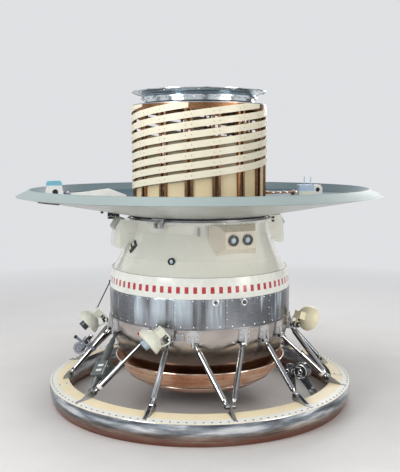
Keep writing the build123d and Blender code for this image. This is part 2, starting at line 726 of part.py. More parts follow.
def top_flanges():
    """Plate that closes the drum, a short neck and two flanges."""
    plate_top = CAGE_TOP_Z + TOP_PLATE_T
    plate = Pos(0, 0, CAGE_TOP_Z + TOP_PLATE_T / 2) * Cylinder(TOP_PLATE_R, TOP_PLATE_T)
    write("top_plate", plate)
    neck = lathe_points((FLANGE_BORE_R, plate_top), (TOP_NECK_R, plate_top),
                        (TOP_NECK_R, LOWER_FLANGE_Z), (LOWER_FLANGE_R, LOWER_FLANGE_Z),
                        (LOWER_FLANGE_R, LOWER_FLANGE_Z + LOWER_FLANGE_T),
                        (FLANGE_BORE_R, LOWER_FLANGE_Z + LOWER_FLANGE_T))
    write("top_neck", neck)
    low_z = LOWER_FLANGE_Z + LOWER_FLANGE_T
    flange = lathe_points((FLANGE_BORE_R, low_z), (TOP_NECK_R, low_z), (TOP_NECK_R + 16, low_z + 12),
                          (UPPER_FLANGE_R - 4, TOP_Z - UPPER_FLANGE_T), (UPPER_FLANGE_R, TOP_Z - 4),
                          (UPPER_FLANGE_R, TOP_Z), (FLANGE_BORE_R, TOP_Z))
    hole = Pos(FLANGE_BOLT_PCD / 2, 0, TOP_Z) * Cylinder(FLANGE_BOLT_R, 4 * UPPER_FLANGE_T)
    flange = flange - [Rot(0, 0, number * 360 / FLANGE_BOLTS) * hole for number in range(FLANGE_BOLTS)]
    write("top_flange", flange)


def camera_pods():
    """Two housings on opposite sides of the neck, each with a hood and a slanted window beside it."""
    collar_foot = NECK_TOP_Z - COLLAR_H - GAP
    cutter = neck_solid(GAP) + lathe_points((0, collar_foot), (COLLAR_R + GAP, collar_foot),
                                            (COLLAR_R + GAP, DISC_HUB_Z), (0, DISC_HUB_Z))
    low_r = POD_TIP_R - 22
    inner_r = NECK_WAIST_R - 27
    outline = ((inner_r, POD_TOP_Z - POD_FALL), (POD_TOP_R, POD_TOP_Z), (POD_TIP_R - 10, POD_TIP_Z),
               (POD_TIP_R - 12, POD_TIP_Z - 18), (POD_TIP_R, POD_LOW_Z + 26), (POD_TIP_R - 3, POD_LOW_Z + 11),
               (low_r, POD_LOW_Z), (low_r - 14, POD_LOW_Z), (NECK_WAIST_R + 42, POD_LOW_Z + 28),
               (NECK_WAIST_R - 7, POD_LOW_Z + 46))
    body = radial_slab(2 * POD_HALF_W, *outline)
    for hand in (-1, 1):
        corner = Plane(origin=(hand * POD_HALF_W, -POD_TIP_R - 8, 0)) * Rot(0, 0, 45)
        body = body - corner * Box(2 * POD_BEVEL, 2 * POD_BEVEL, 2 * TOP_Z)
    hood_w = 2 * POD_HALF_W - 2 * POD_BEVEL
    hood_top = POD_TOP_Z + GAP
    hood_inner_r = POD_TOP_R - 28
    hood_inner_z = hood_top - POD_FALL * (POD_TOP_R - hood_inner_r) / (POD_TOP_R - inner_r)
    hood = radial_slab(
        hood_w,
        (hood_inner_r, hood_inner_z), (POD_TOP_R + 1, hood_top), (POD_TIP_R - 9, POD_TIP_Z),
        (POD_TIP_R - 9, POD_TIP_Z - POD_HOOD_DROP), (POD_TIP_R + 2, POD_TIP_Z - POD_HOOD_DROP / 4),
        (POD_TIP_R + 2, POD_TIP_Z + 3), (POD_TOP_R + 4, hood_top + POD_HOOD_T),
        (hood_inner_r, hood_inner_z + POD_HOOD_T),
    )
    window_plane = Plane(origin=polar(NECK_WAIST_R + 26, POD_AZ + WINDOW_AZ, WINDOW_Z),
                         x_dir=polar(1, POD_AZ + WINDOW_AZ + 90, 0), z_dir=polar(1, POD_AZ + WINDOW_AZ, 0.4))
    window = extrude(window_plane * Rot(0, 0, WINDOW_TURN) * Rectangle(WINDOW_L, WINDOW_W), WINDOW_T, both=True)
    window = window - cutter - turned(radial_slab(2 * (POD_HALF_W + GAP), *outline), POD_AZ)
    body = body - cutter
    housings = [turned(body, azimuth) for azimuth in (POD_AZ, POD_AZ + 180)]
    hoods = [turned(hood, azimuth) for azimuth in (POD_AZ, POD_AZ + 180)]
    windows = [turned(window, azimuth) for azimuth in (0, 180)]
    write("camera_pods", *housings)
    write("camera_hoods", *hoods)
    write("camera_windows", *windows)


def photometer():
    """Bevelled housing with two round windows side by side."""
    base = Plane(origin=(0, -PHOTO_BASE_DEPTH, PHOTO_Z), x_dir=(1, 0, 0), z_dir=(0, -1, 0))
    face = Plane(origin=(0, -PHOTO_FACE_DEPTH, PHOTO_Z), x_dir=(1, 0, 0), z_dir=(0, -1, 0))
    housing = loft([base * Rectangle(PHOTO_BASE_W, PHOTO_BASE_H), face * Rectangle(PHOTO_FACE_W, PHOTO_FACE_H)])
    housing = housing - neck_solid(GAP) - everywhere_above(NECK_TOP_Z - COLLAR_H - GAP)
    rings, glasses = [], []
    for hand in (-1, 1):
        x = hand * PHOTO_WINDOW_PITCH / 2
        ring = outward_disc(PHOTO_RING_R, PHOTO_FACE_DEPTH, PHOTO_RING_T, x, PHOTO_Z)
        ring = ring - outward_disc(PHOTO_GLASS_R, PHOTO_FACE_DEPTH, PHOTO_RING_T, x, PHOTO_Z)
        rings.append(turned(ring, PHOTO_AZ))
        glass = outward_disc(PHOTO_GLASS_R - GAP, PHOTO_FACE_DEPTH, PHOTO_GLASS_T, x, PHOTO_Z)
        glasses.append(turned(glass, PHOTO_AZ))
    write("photometer_housing", turned(housing, PHOTO_AZ))
    write("photometer_rings", *rings)
    write("photometer_glasses", *glasses)


def neck_radius(z):
    """Radius of the neck's upper, nearly straight part at a height."""
    share = (z - NECK_WAIST_Z) / (NECK_TOP_Z - NECK_WAIST_Z)
    return NECK_WAIST_R + share * (NECK_TOP_R - NECK_WAIST_R)


def neck_fittings():
    """Two bell nozzles under a toothed bracket, a round port, a sensor plate."""
    bell_r = COLLAR_R + NOZZLE_R + 2
    top_z = underside_z(COLLAR_R) - GAP
    bell_top = top_z - 2 * NOZZLE_TOOTH
    inner = COLLAR_R + GAP
    plate = radial_slab(NOZZLE_BRACKET_W, (inner, top_z), (inner + NOZZLE_BRACKET_DEPTH, top_z),
                        (inner + NOZZLE_BRACKET_DEPTH, top_z - NOZZLE_TOOTH), (inner, top_z - NOZZLE_TOOTH))
    step = NOZZLE_BRACKET_W / NOZZLE_TEETH
    tooth = radial_slab(step / 2, (inner + 2, top_z - 2), (inner + NOZZLE_BRACKET_DEPTH, top_z - 2),
                        (inner + NOZZLE_BRACKET_DEPTH, bell_top), (inner + 2, bell_top))
    places = [(number + 0.5) * step - NOZZLE_BRACKET_W / 2 for number in range(NOZZLE_TEETH)]
    toothed = plate + [Pos(x, 0, 0) * tooth for x in places]
    toothed = toothed - lathe_points((0, 0), (inner, 0), (inner, TOP_Z), (0, TOP_Z))
    write("nozzle_bracket", turned(toothed, NOZZLE_AZ))
    bell_foot = bell_top - GAP - NOZZLE_H
    bell = lathe_points(
        (0, bell_foot + 6), (NOZZLE_R - NOZZLE_LIP, bell_foot), (NOZZLE_R, bell_foot),
        (NOZZLE_R - 2, bell_foot + 12), (NOZZLE_THROAT_R, bell_top - 14), (NOZZLE_THROAT_R + 3, bell_top - 10),
        (NOZZLE_THROAT_R + 3, bell_top - GAP), (0, bell_top - GAP),
    )
    bells = [turned(Pos(x, -bell_r, 0) * bell, NOZZLE_AZ) for x in (-NOZZLE_PITCH / 2, NOZZLE_PITCH / 2)]
    write("nozzles", *bells)
    cutter = neck_solid(GAP)
    port = outward_disc(PORT_R, NECK_WAIST_R, NECK_FLARE_R + PORT_REACH - NECK_WAIST_R, 0, PORT_Z)
    port = port - outward_disc(PORT_LENS_R, NECK_FLARE_R + PORT_REACH / 2, PORT_REACH, 0, PORT_Z)
    write("round_port", turned(port - cutter, PORT_AZ))
    plate = box_at(*SENSOR_SIZE, 0, -neck_radius(SENSOR_Z), SENSOR_Z)
    write("sensor_plate", turned(plate - cutter, SENSOR_AZ))


def lamp(azimuth, foot_az, pivot_r, pivot_z, aim_az, tilt):
    """A lamp head that tilts in a yoke. Returns the head, its lens barrel and the yoke."""
    # The head is modelled level, facing +X, with its pivot at the origin
    start = LAMP_BOX_START
    box = box_at(*LAMP_BOX, start + LAMP_BOX[0] / 2, 0, LAMP_LIFT)
    apex = start + LAMP_BOX[0] - 6
    mouth = apex + LAMP_DISH_DEPTH
    throat_r = 0.3 * LAMP_DISH_R
    middle_r = 0.76 * LAMP_DISH_R
    middle = apex + 0.34 * LAMP_DISH_DEPTH
    outer = [Line((0, apex), (throat_r, apex)),
             ThreePointArc((throat_r, apex), (middle_r, middle), (LAMP_DISH_R, mouth)),
             Line((LAMP_DISH_R, mouth), (LAMP_DISH_R - LAMP_WALL, mouth)),
             ThreePointArc((LAMP_DISH_R - LAMP_WALL, mouth), (middle_r - LAMP_WALL, middle + LAMP_WALL),
                           (throat_r - 2, apex + LAMP_WALL)),
             Line((throat_r - 2, apex + LAMP_WALL), (0, apex + LAMP_WALL)),
             Line((0, apex + LAMP_WALL), (0, apex))]
    forward = Plane(origin=(0, 0, LAMP_LIFT), x_dir=(0, 0, 1), z_dir=(1, 0, 0))
    dish = forward * lathe(*outer)
    arm = box_at(2 * LAMP_EYE_R - 4, LAMP_ARM_T, LAMP_LIFT, 0, 0, LAMP_LIFT / 2)
    arm = arm + Rot(90, 0, 0) * Cylinder(LAMP_EYE_R, LAMP_ARM_T)
    head = box + dish + arm
    head = head - Rot(90, 0, 0) * Cylinder(LAMP_PIN_R + GAP / 2, 4 * LAMP_ARM_T)
    barrel_start = start + LAMP_BOX[0] + GAP
    shoulder = mouth - 0.35 * LAMP_DISH_DEPTH
    front = mouth + LAMP_BARREL_REACH
    barrel = forward * lathe_points(
        (0, barrel_start), (LAMP_BARREL_NECK_R, barrel_start), (LAMP_BARREL_NECK_R, shoulder - 8),
        (LAMP_BARREL_R, shoulder), (LAMP_BARREL_R, front - 3), (LAMP_BARREL_R - 3, front),
        (LAMP_BARREL_R - 6, front), (LAMP_BARREL_R - 8, front - 5), (0, front - 5),
    )
    aim = Rot(0, 0, aim_az - 90) * Rot(0, tilt, 0)
    place = Pos(*polar(pivot_r, azimuth, pivot_z))
    cheek_gap = LAMP_ARM_T / 2 + 1
    low = -LAMP_EYE_R - 8
    cheek = box_at(2 * LAMP_EYE_R, LAMP_CHEEK_T, 10 - low, 0, cheek_gap + LAMP_CHEEK_T / 2, (10 + low) / 2)
    base = box_at(2 * LAMP_EYE_R, 2 * (cheek_gap + LAMP_CHEEK_T), LAMP_STEM_T, 0, 0, low + LAMP_STEM_T / 2)
    yoke = base + cheek + mirror(cheek, Plane.XZ)
    yoke = yoke + Rot(90, 0, 0) * Cylinder(LAMP_PIN_R - GAP / 2, 2 * (cheek_gap + LAMP_CHEEK_T))
    yoke = place * Rot(0, 0, aim_az - 90) * yoke
    # The yoke stands on an arm from its own foot on the hull, between two strut brackets
    arm_z = pivot_z + low
    root = polar(HULL_R - SEAT_DEPTH / 2, foot_az, arm_z)
    tip = polar(pivot_r, azimuth, arm_z)
    across = (tip - root).cross(Vector(0, 0, 1)).normalized() * (LAMP_STEM_W / 2)
    stem = extrude(make_face(Polyline(root - across, root + across, tip + across, tip - across, close=True)),
                   LAMP_STEM_T, dir=(0, 0, 1))
    face_r = HULL_R + BRACKET_T
    pad = radial_slab(LAMP_PAD_W, (HULL_R - SEAT_DEPTH, arm_z), (face_r, arm_z),
                      (face_r, arm_z + LAMP_PAD_H), (HULL_R - SEAT_DEPTH, arm_z + LAMP_PAD_H))
    yoke = yoke + ((stem + turned(pad, foot_az)) - hull_solid(GAP))
    return place * aim * head, place * aim * barrel, yoke


def lamps():
    """Four lamps at the hull's sides."""
    # Name, azimuth of the pivot, azimuth of the foot, pivot radius, pivot height, aim, tilt
    table = (
        ("lamp_1", -84.0, -85.9, HULL_R + LAMP_NEAR_REACH, LAMP_HIGH_Z, POD_AZ, 40.0),
        ("lamp_2", -17.0, -11.3, HULL_R + LAMP_REACH, LAMP_HIGH_Z, POD_AZ, 38.0),
        ("lamp_3", 80.0, 79.0, HULL_R + LAMP_REACH, LAMP_LOW_Z, 130.0, 20.0),
        ("lamp_4", 163.0, 168.8, HULL_R + LAMP_REACH, LAMP_HIGH_Z, POD_AZ + 180, 38.0),
    )
    yokes = []
    for name, azimuth, foot_az, pivot_r, pivot_z, aim, tilt in table:
        head, barrel, yoke = lamp(azimuth, foot_az, pivot_r, pivot_z, aim, tilt)
        write(name + "_head", head)
        write(name + "_bulb", barrel)
        yokes.append(yoke)
    write("lamp_yokes", *yokes)


def boom_ears(pivot_r, pivot_z, arm_w, ear_r):
    """Two ears on the disc floor with the pin of a boom, at azimuth 0."""
    inner = arm_w / 2 + BOOM_SIDE_GAP
    foot_z = floor_z(pivot_r + ear_r) + GAP
    ear = radial_slab(BOOM_EAR_T, (pivot_r - ear_r, foot_z), (pivot_r + ear_r, foot_z),
                      (pivot_r + ear_r, pivot_z), (pivot_r - ear_r, pivot_z))
    ear = ear + side_disc(ear_r, -BOOM_EAR_T / 2, BOOM_EAR_T, pivot_r, pivot_z)
    shift = inner + BOOM_EAR_T / 2
    pin = side_disc(BOOM_PIN_R, -shift, 2 * shift, pivot_r, pivot_z)
    base = radial_slab(2 * (inner + BOOM_EAR_T), (pivot_r - ear_r, foot_z), (pivot_r + ear_r, foot_z),
                       (pivot_r + ear_r, foot_z + 4), (pivot_r - ear_r, foot_z + 4))
    return base + pin + [Pos(x, 0, 0) * ear for x in (-shift, shift)]


def white_unit():
    """Sensor unit with a round hole and a cap, and the white boom that folds inward from it."""
    outer = WHITE_UNIT_OUTER_R
    inner = outer - WHITE_UNIT_L
    foot_z = floor_z(outer) + GAP
    top_z = foot_z + WHITE_UNIT_H
    shoulder_z = top_z - 48
    body = radial_slab(WHITE_UNIT_W, (inner, foot_z), (outer, foot_z), (outer, shoulder_z), (outer - 12, top_z),
                       (inner + 10, top_z), (inner, shoulder_z))
    body = body - side_disc(UNIT_HOLE_R, -WHITE_UNIT_W, 2 * WHITE_UNIT_W, inner + 46, shoulder_z + 12)
    write("white_unit", turned(body, POD_AZ))
    cap_low = top_z + GAP
    cap_high = top_z + WHITE_CAP_H
    cap = radial_slab(WHITE_UNIT_W - 4, (inner + 8, cap_low), (outer - 6, cap_low), (outer - 6, cap_high - 10),
                      (outer - 14, cap_high), (inner + 16, cap_high), (inner + 8, cap_high - 10))
    write("white_unit_cap", turned(cap, POD_AZ))
    pivot_r = WHITE_BOOM_PIVOT_R
    pivot_z = floor_z(pivot_r) + BOOM_RISE
    tip_r = WHITE_BOOM_TIP_R
    reach = pivot_r - tip_r
    arm = radial_slab(
        WHITE_BOOM_W,
        (pivot_r, pivot_z - 5), (pivot_r - 0.32 * reach, pivot_z + 2), (pivot_r - 0.71 * reach, pivot_z + 18),
        (tip_r, pivot_z - 19), (tip_r, pivot_z - 32), (pivot_r - 0.25 * reach, pivot_z - 32),
        (pivot_r - 0.25 * reach, pivot_z - 15), (pivot_r, pivot_z - 15),
    )
    knuckle = side_disc(WHITE_KNUCKLE_R, -WHITE_BOOM_W / 2, WHITE_BOOM_W, pivot_r, pivot_z)
    knuckle = knuckle & Pos(0, -pivot_r, pivot_z) * Sphere(WHITE_KNUCKLE_R + 3)
    front = pivot_r + 15
    back = pivot_r - WHITE_KNUCKLE_R - 14
    knuckle = knuckle & radial_slab(WHITE_BOOM_W, (back, pivot_z - 18), (front, pivot_z - 18),
                                    (front, pivot_z + 40), (back, pivot_z + 40))
    boom = arm + knuckle - side_disc(BOOM_PIN_R + GAP, -WHITE_BOOM_W, 2 * WHITE_BOOM_W, pivot_r, pivot_z)
    write("white_boom", turned(boom, POD_AZ))
    ears = boom_ears(pivot_r, pivot_z, WHITE_BOOM_W, 13)
    write("white_boom_hinge", turned(ears, POD_AZ))


def copper_unit():
    """Sensor unit with a block, a box with two pins and a bored bracket, and the copper boom."""
    azimuth = POD_AZ + 180
    outer = COPPER_UNIT_OUTER_R
    joint_r = outer - COPPER_BRACKET_L
    foot_z = floor_z(outer) + GAP
    top_z = foot_z + COPPER_BRACKET_H
    bracket_piece = radial_slab(COPPER_UNIT_W, (joint_r, foot_z), (outer, foot_z), (outer, top_z - 20),
                                (outer - 14, top_z), (joint_r, top_z))
    bracket_piece = bracket_piece - side_disc(UNIT_HOLE_R - 2, -COPPER_UNIT_W, 2 * COPPER_UNIT_W,
                                              outer - 32, top_z - 29)
    write("copper_unit_bracket", turned(bracket_piece, azimuth))
    block_outer = joint_r - GAP
    block_inner = block_outer - COPPER_BLOCK_L
    block_foot = floor_z(block_outer) + GAP
    block_top = block_foot + COPPER_BLOCK_H
    block = radial_slab(COPPER_UNIT_W, (block_inner, block_foot), (block_outer, block_foot),
                        (block_outer, block_top), (block_inner, block_top))
    write("copper_unit_block", turned(block, azimuth))
    box_low = block_top + GAP
    box_top = box_low + COPPER_BOX_H
    box = radial_slab(COPPER_UNIT_W - 8, (block_inner + 2, box_low), (block_outer, box_low),
                      (block_outer, box_top), (block_inner + 2, box_top))
    pin_places = (block_inner + 0.45 * COPPER_BLOCK_L, block_inner + 0.9 * COPPER_BLOCK_L)
    pins = [Pos(0, -r, box_top + COPPER_PIN_H / 2) * Cylinder(COPPER_PIN_R, COPPER_PIN_H) for r in pin_places]
    write("copper_unit_box", turned(box + pins, azimuth))
    pivot_r = COPPER_BOOM_PIVOT_R
    pivot_z = floor_z(pivot_r) + BOOM_RISE
    eye_piece = side_disc(COPPER_EYE_R, -COPPER_BOOM_W / 2, COPPER_BOOM_W, pivot_r, pivot_z)
    length = pivot_r - COPPER_BOOM_TIP_R
    tube = Plane(origin=(0, -pivot_r, pivot_z), z_dir=(0, 1, 0)) * Cylinder(
        COPPER_TUBE_R, length, align=(Align.CENTER, Align.CENTER, Align.MIN))
    side = COPPER_BOOM_W / 2 - COPPER_TUBE_R - 1
    tip = box_at(COPPER_BOOM_W, 30, 16, 0, -COPPER_BOOM_TIP_R - 15, pivot_z)
    boom = eye_piece + [Pos(x, 0, 0) * tube for x in (-side, side)] + tip
    boom = boom - side_disc(BOOM_PIN_R + GAP, -COPPER_BOOM_W, 2 * COPPER_BOOM_W, pivot_r, pivot_z)
    write("copper_boom", turned(boom, azimuth))
    ears = boom_ears(pivot_r, pivot_z, COPPER_BOOM_W, 11)
    write("copper_boom_hinge", turned(ears, azimuth))


def instrument_box():
    """Box beside the sleeved strut of one V foot; the strut passes through its inner end."""
    side = LUG_T / 2 + EYE_W / 2 + GAP
    low, high = strut_ends(BOX_FOOT_AZ, -side, BOX_FOOT_AZ - V_SPREAD_AZ, side)
    axis = (high - low).normalized()
    # The box points along the tangent, towards the foot's other strut
    across = polar(1, BOX_FOOT_AZ + 90, 0)
    across = (across - axis * across.dot(axis)).normalized()
    place = Plane(origin=low + (high - low) * BOX_SHARE, x_dir=across, z_dir=axis)
    body = box_at(BOX_W, BOX_DEPTH, BOX_H, BOX_SHIFT, 0, 0) - Cylinder(BOX_SLEEVE_R + GAP, 2 * BOX_H)
    write("instrument_box", place * body)


def side_instrument():
    """Small square instrument with a round pad and an arm, clamped round a radial strut."""
    low, high = strut_ends(SIDE_AZ, 0, SIDE_AZ, 0)
    axis = (high - low).normalized()
    tangent = polar(1, SIDE_AZ + 90, 0)
    # Local frame: X along the tangent, Y square to the strut and outward, Z up the strut
    place = Plane(origin=low + (high - low) * SIDE_SHARE, x_dir=tangent, z_dir=axis)
    outward = 1 if place.y_dir.dot(polar(1, SIDE_AZ, 0)) > 0 else -1
    reach = STRUT_R + SIDE_CLAMP_T
    clamp = Cylinder(reach, SIDE_CLAMP_H) - Cylinder(STRUT_R + GAP, 2 * SIDE_CLAMP_H)
    post_l = SIDE_BOX_OFFSET - reach
    post = box_at(SIDE_CLAMP_H, post_l + 4, SIDE_CLAMP_H, 0, outward * (reach + post_l / 2), 0)
    box = Pos(0, outward * SIDE_BOX_OFFSET, 0) * Box(SIDE_BOX_T, SIDE_BOX, SIDE_BOX)
    pad_place = Pos(0, outward * (SIDE_BOX_OFFSET + 8), -SIDE_BOX / 2 - SIDE_PAD_R + 8) * Rot(0, 90, 0)
    pad = pad_place * Cylinder(SIDE_PAD_R, SIDE_PAD_T)
    arm_middle = SIDE_BOX_OFFSET + SIDE_BOX / 2 + SIDE_ARM_L / 2 - 4
    arm = Pos(0, outward * arm_middle, -SIDE_ARM_DROP) * Rot(90, 0, 0) * Cylinder(SIDE_ARM_R, SIDE_ARM_L)
    write("side_instrument", place * (clamp + post + box + pad + arm))


def soil_probe():
    """Probe with a domed head, a round case and a blade on a hinged arm, and its bracket on the ring."""
    pivot_r = PROBE_PIVOT_R
    pivot_z = PROBE_PIVOT_Z
    head_r = pivot_r - PROBE_HEAD_REACH
    case_r = pivot_r - PROBE_CASE_REACH
    dome_low = PROBE_HEAD_HIGH_Z - 0.6 * PROBE_HEAD_R
    head = lathe(
        Line((0, PROBE_HEAD_LOW_Z), (PROBE_HEAD_R - 8, PROBE_HEAD_LOW_Z)),
        Line((PROBE_HEAD_R - 8, PROBE_HEAD_LOW_Z), (PROBE_HEAD_R, PROBE_HEAD_LOW_Z + 22)),
        Line((PROBE_HEAD_R, PROBE_HEAD_LOW_Z + 22), (PROBE_HEAD_R, dome_low)),
        ThreePointArc((PROBE_HEAD_R, dome_low), (0.74 * PROBE_HEAD_R, PROBE_HEAD_HIGH_Z - 0.2 * PROBE_HEAD_R),
                      (0, PROBE_HEAD_HIGH_Z)),
        Line((0, PROBE_HEAD_HIGH_Z), (0, PROBE_HEAD_LOW_Z)),
    )
    case = side_disc(PROBE_CASE_R, -PROBE_CASE_W / 2, PROBE_CASE_W, case_r, PROBE_CASE_Z)
    rim = case.edges().filter_by(GeomType.CIRCLE)
    case = fillet(rim, PROBE_CASE_W / 5)
    blade = radial_slab(PROBE_BLADE_W, (head_r - 6, PROBE_HEAD_LOW_Z + 4), (head_r + 26, PROBE_HEAD_LOW_Z + 4),
                        (head_r + 34, PROBE_BLADE_LOW_Z + 6), (head_r + 22, PROBE_BLADE_LOW_Z))
    arm = radial_slab(PROBE_ARM_W, (pivot_r + 8, pivot_z - 6), (pivot_r - 14, pivot_z - 8),
                      (case_r - 18, PROBE_CASE_Z - 30), (case_r + 22, PROBE_CASE_Z - 26))
    eye_piece = side_disc(PROBE_EYE_R, -PROBE_ARM_W / 2, PROBE_ARM_W, pivot_r, pivot_z)
    probe = Pos(0, -head_r, 0) * head + case + blade + arm + eye_piece
    probe = probe - side_disc(BOOM_PIN_R + GAP, -PROBE_ARM_W, 2 * PROBE_ARM_W, pivot_r, pivot_z)
    write("soil_probe", turned(probe, PROBE_AZ))
    wall = RING_WALL_R - GAP
    inner = PROBE_ARM_W / 2 + BOOM_SIDE_GAP
    plate_low = RING_HEEL_Z + 48
    plate_high = DECK_INNER_Z - DECK_T - 10
    ear = radial_slab(BOOM_EAR_T, (wall, plate_low), (wall, plate_high), (pivot_r + 12, pivot_z + 4),
                      (pivot_r - 10, pivot_z + 4), (pivot_r - 10, pivot_z - 10))
    shift = inner + BOOM_EAR_T / 2
    plate = radial_slab(2 * (inner + BOOM_EAR_T), (wall, plate_low), (wall, plate_high), (wall - 5, plate_high),
                        (wall - 5, plate_low))
    pin = side_disc(BOOM_PIN_R, -shift, 2 * shift, pivot_r, pivot_z)
    bracket_piece = plate + pin + [Pos(x, 0, 0) * ear for x in (-shift, shift)]
    write("soil_probe_bracket", turned(bracket_piece, PROBE_AZ))


def disc_fittings():
    """Small bracket and a pipe that hang under the disc at the left of the neck."""
    inner = FITTING_INNER_R
    outer = inner + FITTING_L
    foot_z = underside_z(inner) - FITTING_DROP
    block = radial_slab(FITTING_W, (inner, foot_z), (outer, foot_z), (outer, underside_z(outer) - GAP),
                        (inner, underside_z(inner) - GAP))
    pipe_r = outer + PIPE_SHIFT
    pipe = side_disc(PIPE_R, PIPE_SHIFT - PIPE_L / 2, PIPE_L, pipe_r, underside_z(pipe_r) - PIPE_R - 2 * GAP)
    write("disc_fittings", turned(block + pipe, FITTING_AZ))


landing_ring()
ring_deck()
struts()
lower_shell()
upper_shell()
pan()
brake_disc()
antenna_drum()
top_flanges()
camera_pods()
photometer()
neck_fittings()
lamps()
white_unit()
copper_unit()
instrument_box()
side_instrument()
soil_probe()
disc_fittings()
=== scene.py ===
import json
import math
from functools import partial

import bmesh
import bpy
from mathutils import Matrix, Vector


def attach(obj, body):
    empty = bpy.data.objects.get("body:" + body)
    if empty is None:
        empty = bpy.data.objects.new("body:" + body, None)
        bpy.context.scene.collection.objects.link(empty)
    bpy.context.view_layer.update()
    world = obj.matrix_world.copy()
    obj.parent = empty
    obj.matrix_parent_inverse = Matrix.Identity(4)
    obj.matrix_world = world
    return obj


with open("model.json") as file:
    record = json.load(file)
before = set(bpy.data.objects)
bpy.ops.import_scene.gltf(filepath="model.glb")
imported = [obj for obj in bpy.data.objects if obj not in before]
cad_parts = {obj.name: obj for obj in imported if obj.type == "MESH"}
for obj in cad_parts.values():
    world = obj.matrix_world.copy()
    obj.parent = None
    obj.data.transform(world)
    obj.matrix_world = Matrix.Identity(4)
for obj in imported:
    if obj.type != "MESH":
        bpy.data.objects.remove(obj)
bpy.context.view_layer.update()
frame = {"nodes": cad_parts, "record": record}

# Metres, +Z up, azimuth in degrees from -Y (the viewer's side) towards +X, as in the CAD model.
ROOT = "lander"
UP, DOWN = (0, 0, 1), (0, 0, -1)

# Sizes of the CAD model: radii (R), heights (Z) and azimuths (AZ)
HULL_R = 0.53
EDGE_R, DECK_R, STRIP_R = 0.884, 0.778, 0.845
DECK_Z, DECK_FALL = 0.141, 0.015
STRIP_RIVET_R = 0.872
FEET = [11.5 + 30 * number for number in range(12)]
V_SPREAD = 15.3
V_SIDE = 0.0153
FOOT_PIN = (0.765, 0.168)
TOP_PIN = (0.537, 0.424)
HELIX_LEAD, HELIX_LOW_Z, HELIX_TOP_Z = 0.327, 1.1588, 1.706
HELIX_FIRST_AZ = -160
HELIX_STARTS, HELIX_HEIGHT = 6, 0.02
RIB_PAIRS, RIB_FIRST_AZ = 16, 14.1
RIB_SIDE, RIB_R = 0.016, 0.382
POD_AZ = -72
BOX_FOOT_AZ, BOX_TOP_AZ = -48.5, -63.8
SIDE_INSTRUMENT_AZ = -78.5
PHOTOMETER_AZ, PHOTOMETER_Z, PHOTOMETER_SIDE = 27.4, 0.974, 0.044
ROUND_PORT_AZ = -18.8
DISC_FITTING_AZ = -88
STAY_AZ = -89
PROBE_AZ, PROBE_CASE_R, PROBE_CASE_Z = 55, 0.686, 0.248


# nodes


def is_socket(value):
    """Whether a value is the socket of a node."""
    return isinstance(value, bpy.types.NodeSocket)


def add(kind, inputs, **settings):
    """Node in the tree of the sockets that feed it; other inputs are values."""
    tree = next(value.id_data for value in inputs.values() if is_socket(value))
    node = tree.nodes.new(kind)
    for key, value in settings.items():
        setattr(node, key, value)
    for key, value in inputs.items():
        if is_socket(value):
            tree.links.new(value, node.inputs[key])
        else:
            node.inputs[key].default_value = value
    return node


def math_node(operation, *values):
    """Result of one Math node."""
    return add("ShaderNodeMath", dict(enumerate(values)), operation=operation).outputs[0]


def vector_node(operation, *values):
    """One Vector Math node."""
    return add("ShaderNodeVectorMath", dict(enumerate(values)), operation=operation)


plus, minus, times = (partial(math_node, operation) for operation in ("ADD", "SUBTRACT", "MULTIPLY"))


def noise(vector, scale, detail, rough=0.5, distortion=0):
    """Factor of a Noise texture."""
    keys = ("Vector", "Scale", "Detail", "Roughness", "Distortion")
    inputs = dict(zip(keys, (vector, scale, detail, rough, distortion)))
    return add("ShaderNodeTexNoise", inputs).outputs["Fac"]


def ramp(factor, low, high, low_value=0, high_value=1):
    """Factor mapped from one range to another, clamped."""
    keys = ("Value", "From Min", "From Max", "To Min", "To Max")
    return add("ShaderNodeMapRange", dict(zip(keys, (factor, low, high, low_value, high_value)))).outputs[0]


def mix(factor, first, second):
    """Colour mix; a colour is a tuple of three or a socket."""
    first, second = ((*value, 1) if isinstance(value, tuple) else value for value in (first, second))
    return add("ShaderNodeMix", {0: factor, 6: first, 7: second}, data_type="RGBA").outputs[2]


def stops(factor, *places):
    """Colour by a factor, from stops of (position, color)."""
    node = add("ShaderNodeValToRGB", {"Fac": factor})
    elements = node.color_ramp.elements
    while len(elements) < len(places):
        elements.new(0.5)
    for element, (position, color) in zip(elements, places):
        element.position = position
        element.color = (*color, 1)
    return node.outputs["Color"]


def xyz(vector):
    """The three parts of a vector."""
    return add("ShaderNodeSeparateXYZ", {"Vector": vector}).outputs


def round_axis(place):
    """Azimuth in turns, from the back to the back, and height."""
    x, y, z = xyz(place)
    angle = math_node("ARCTAN2", x, times(y, -1))
    return plus(math_node("DIVIDE", angle, 2 * math.pi), 0.5), z


def from_middle(turns, parts):
    """Distance from the middle of each equal part of a turn."""
    return math_node("ABSOLUTE", minus(math_node("FRACT", times(turns, parts)), 0.5))


def unrolled(place, around, up, outward=1):
    """Coordinates of a closed strip round the axis, where a turn is `around` long."""
    x, y, z = xyz(place)
    radius = math_node("SQRT", plus(times(x, x), times(y, y)))
    safe = math_node("MAXIMUM", radius, 0.001)
    turn_length = around / (2 * math.pi)
    x, y = (times(math_node("DIVIDE", value, safe), turn_length) for value in (x, y))
    height = plus(times(z, up), times(radius, outward))
    return add("ShaderNodeCombineXYZ", {"X": x, "Y": y, "Z": height}).outputs[0]


def link(socket, target):
    """Feed an input of the same tree from a socket."""
    socket.id_data.links.new(socket, target)


# materials

GRIME, PEEL, FINE_PEEL = (0.3, 0.27, 0.22), 0.00005, 0.00001


def shade(color, factor):
    """A colour made lighter or darker."""
    return tuple(min(1, channel * factor) for channel in color)


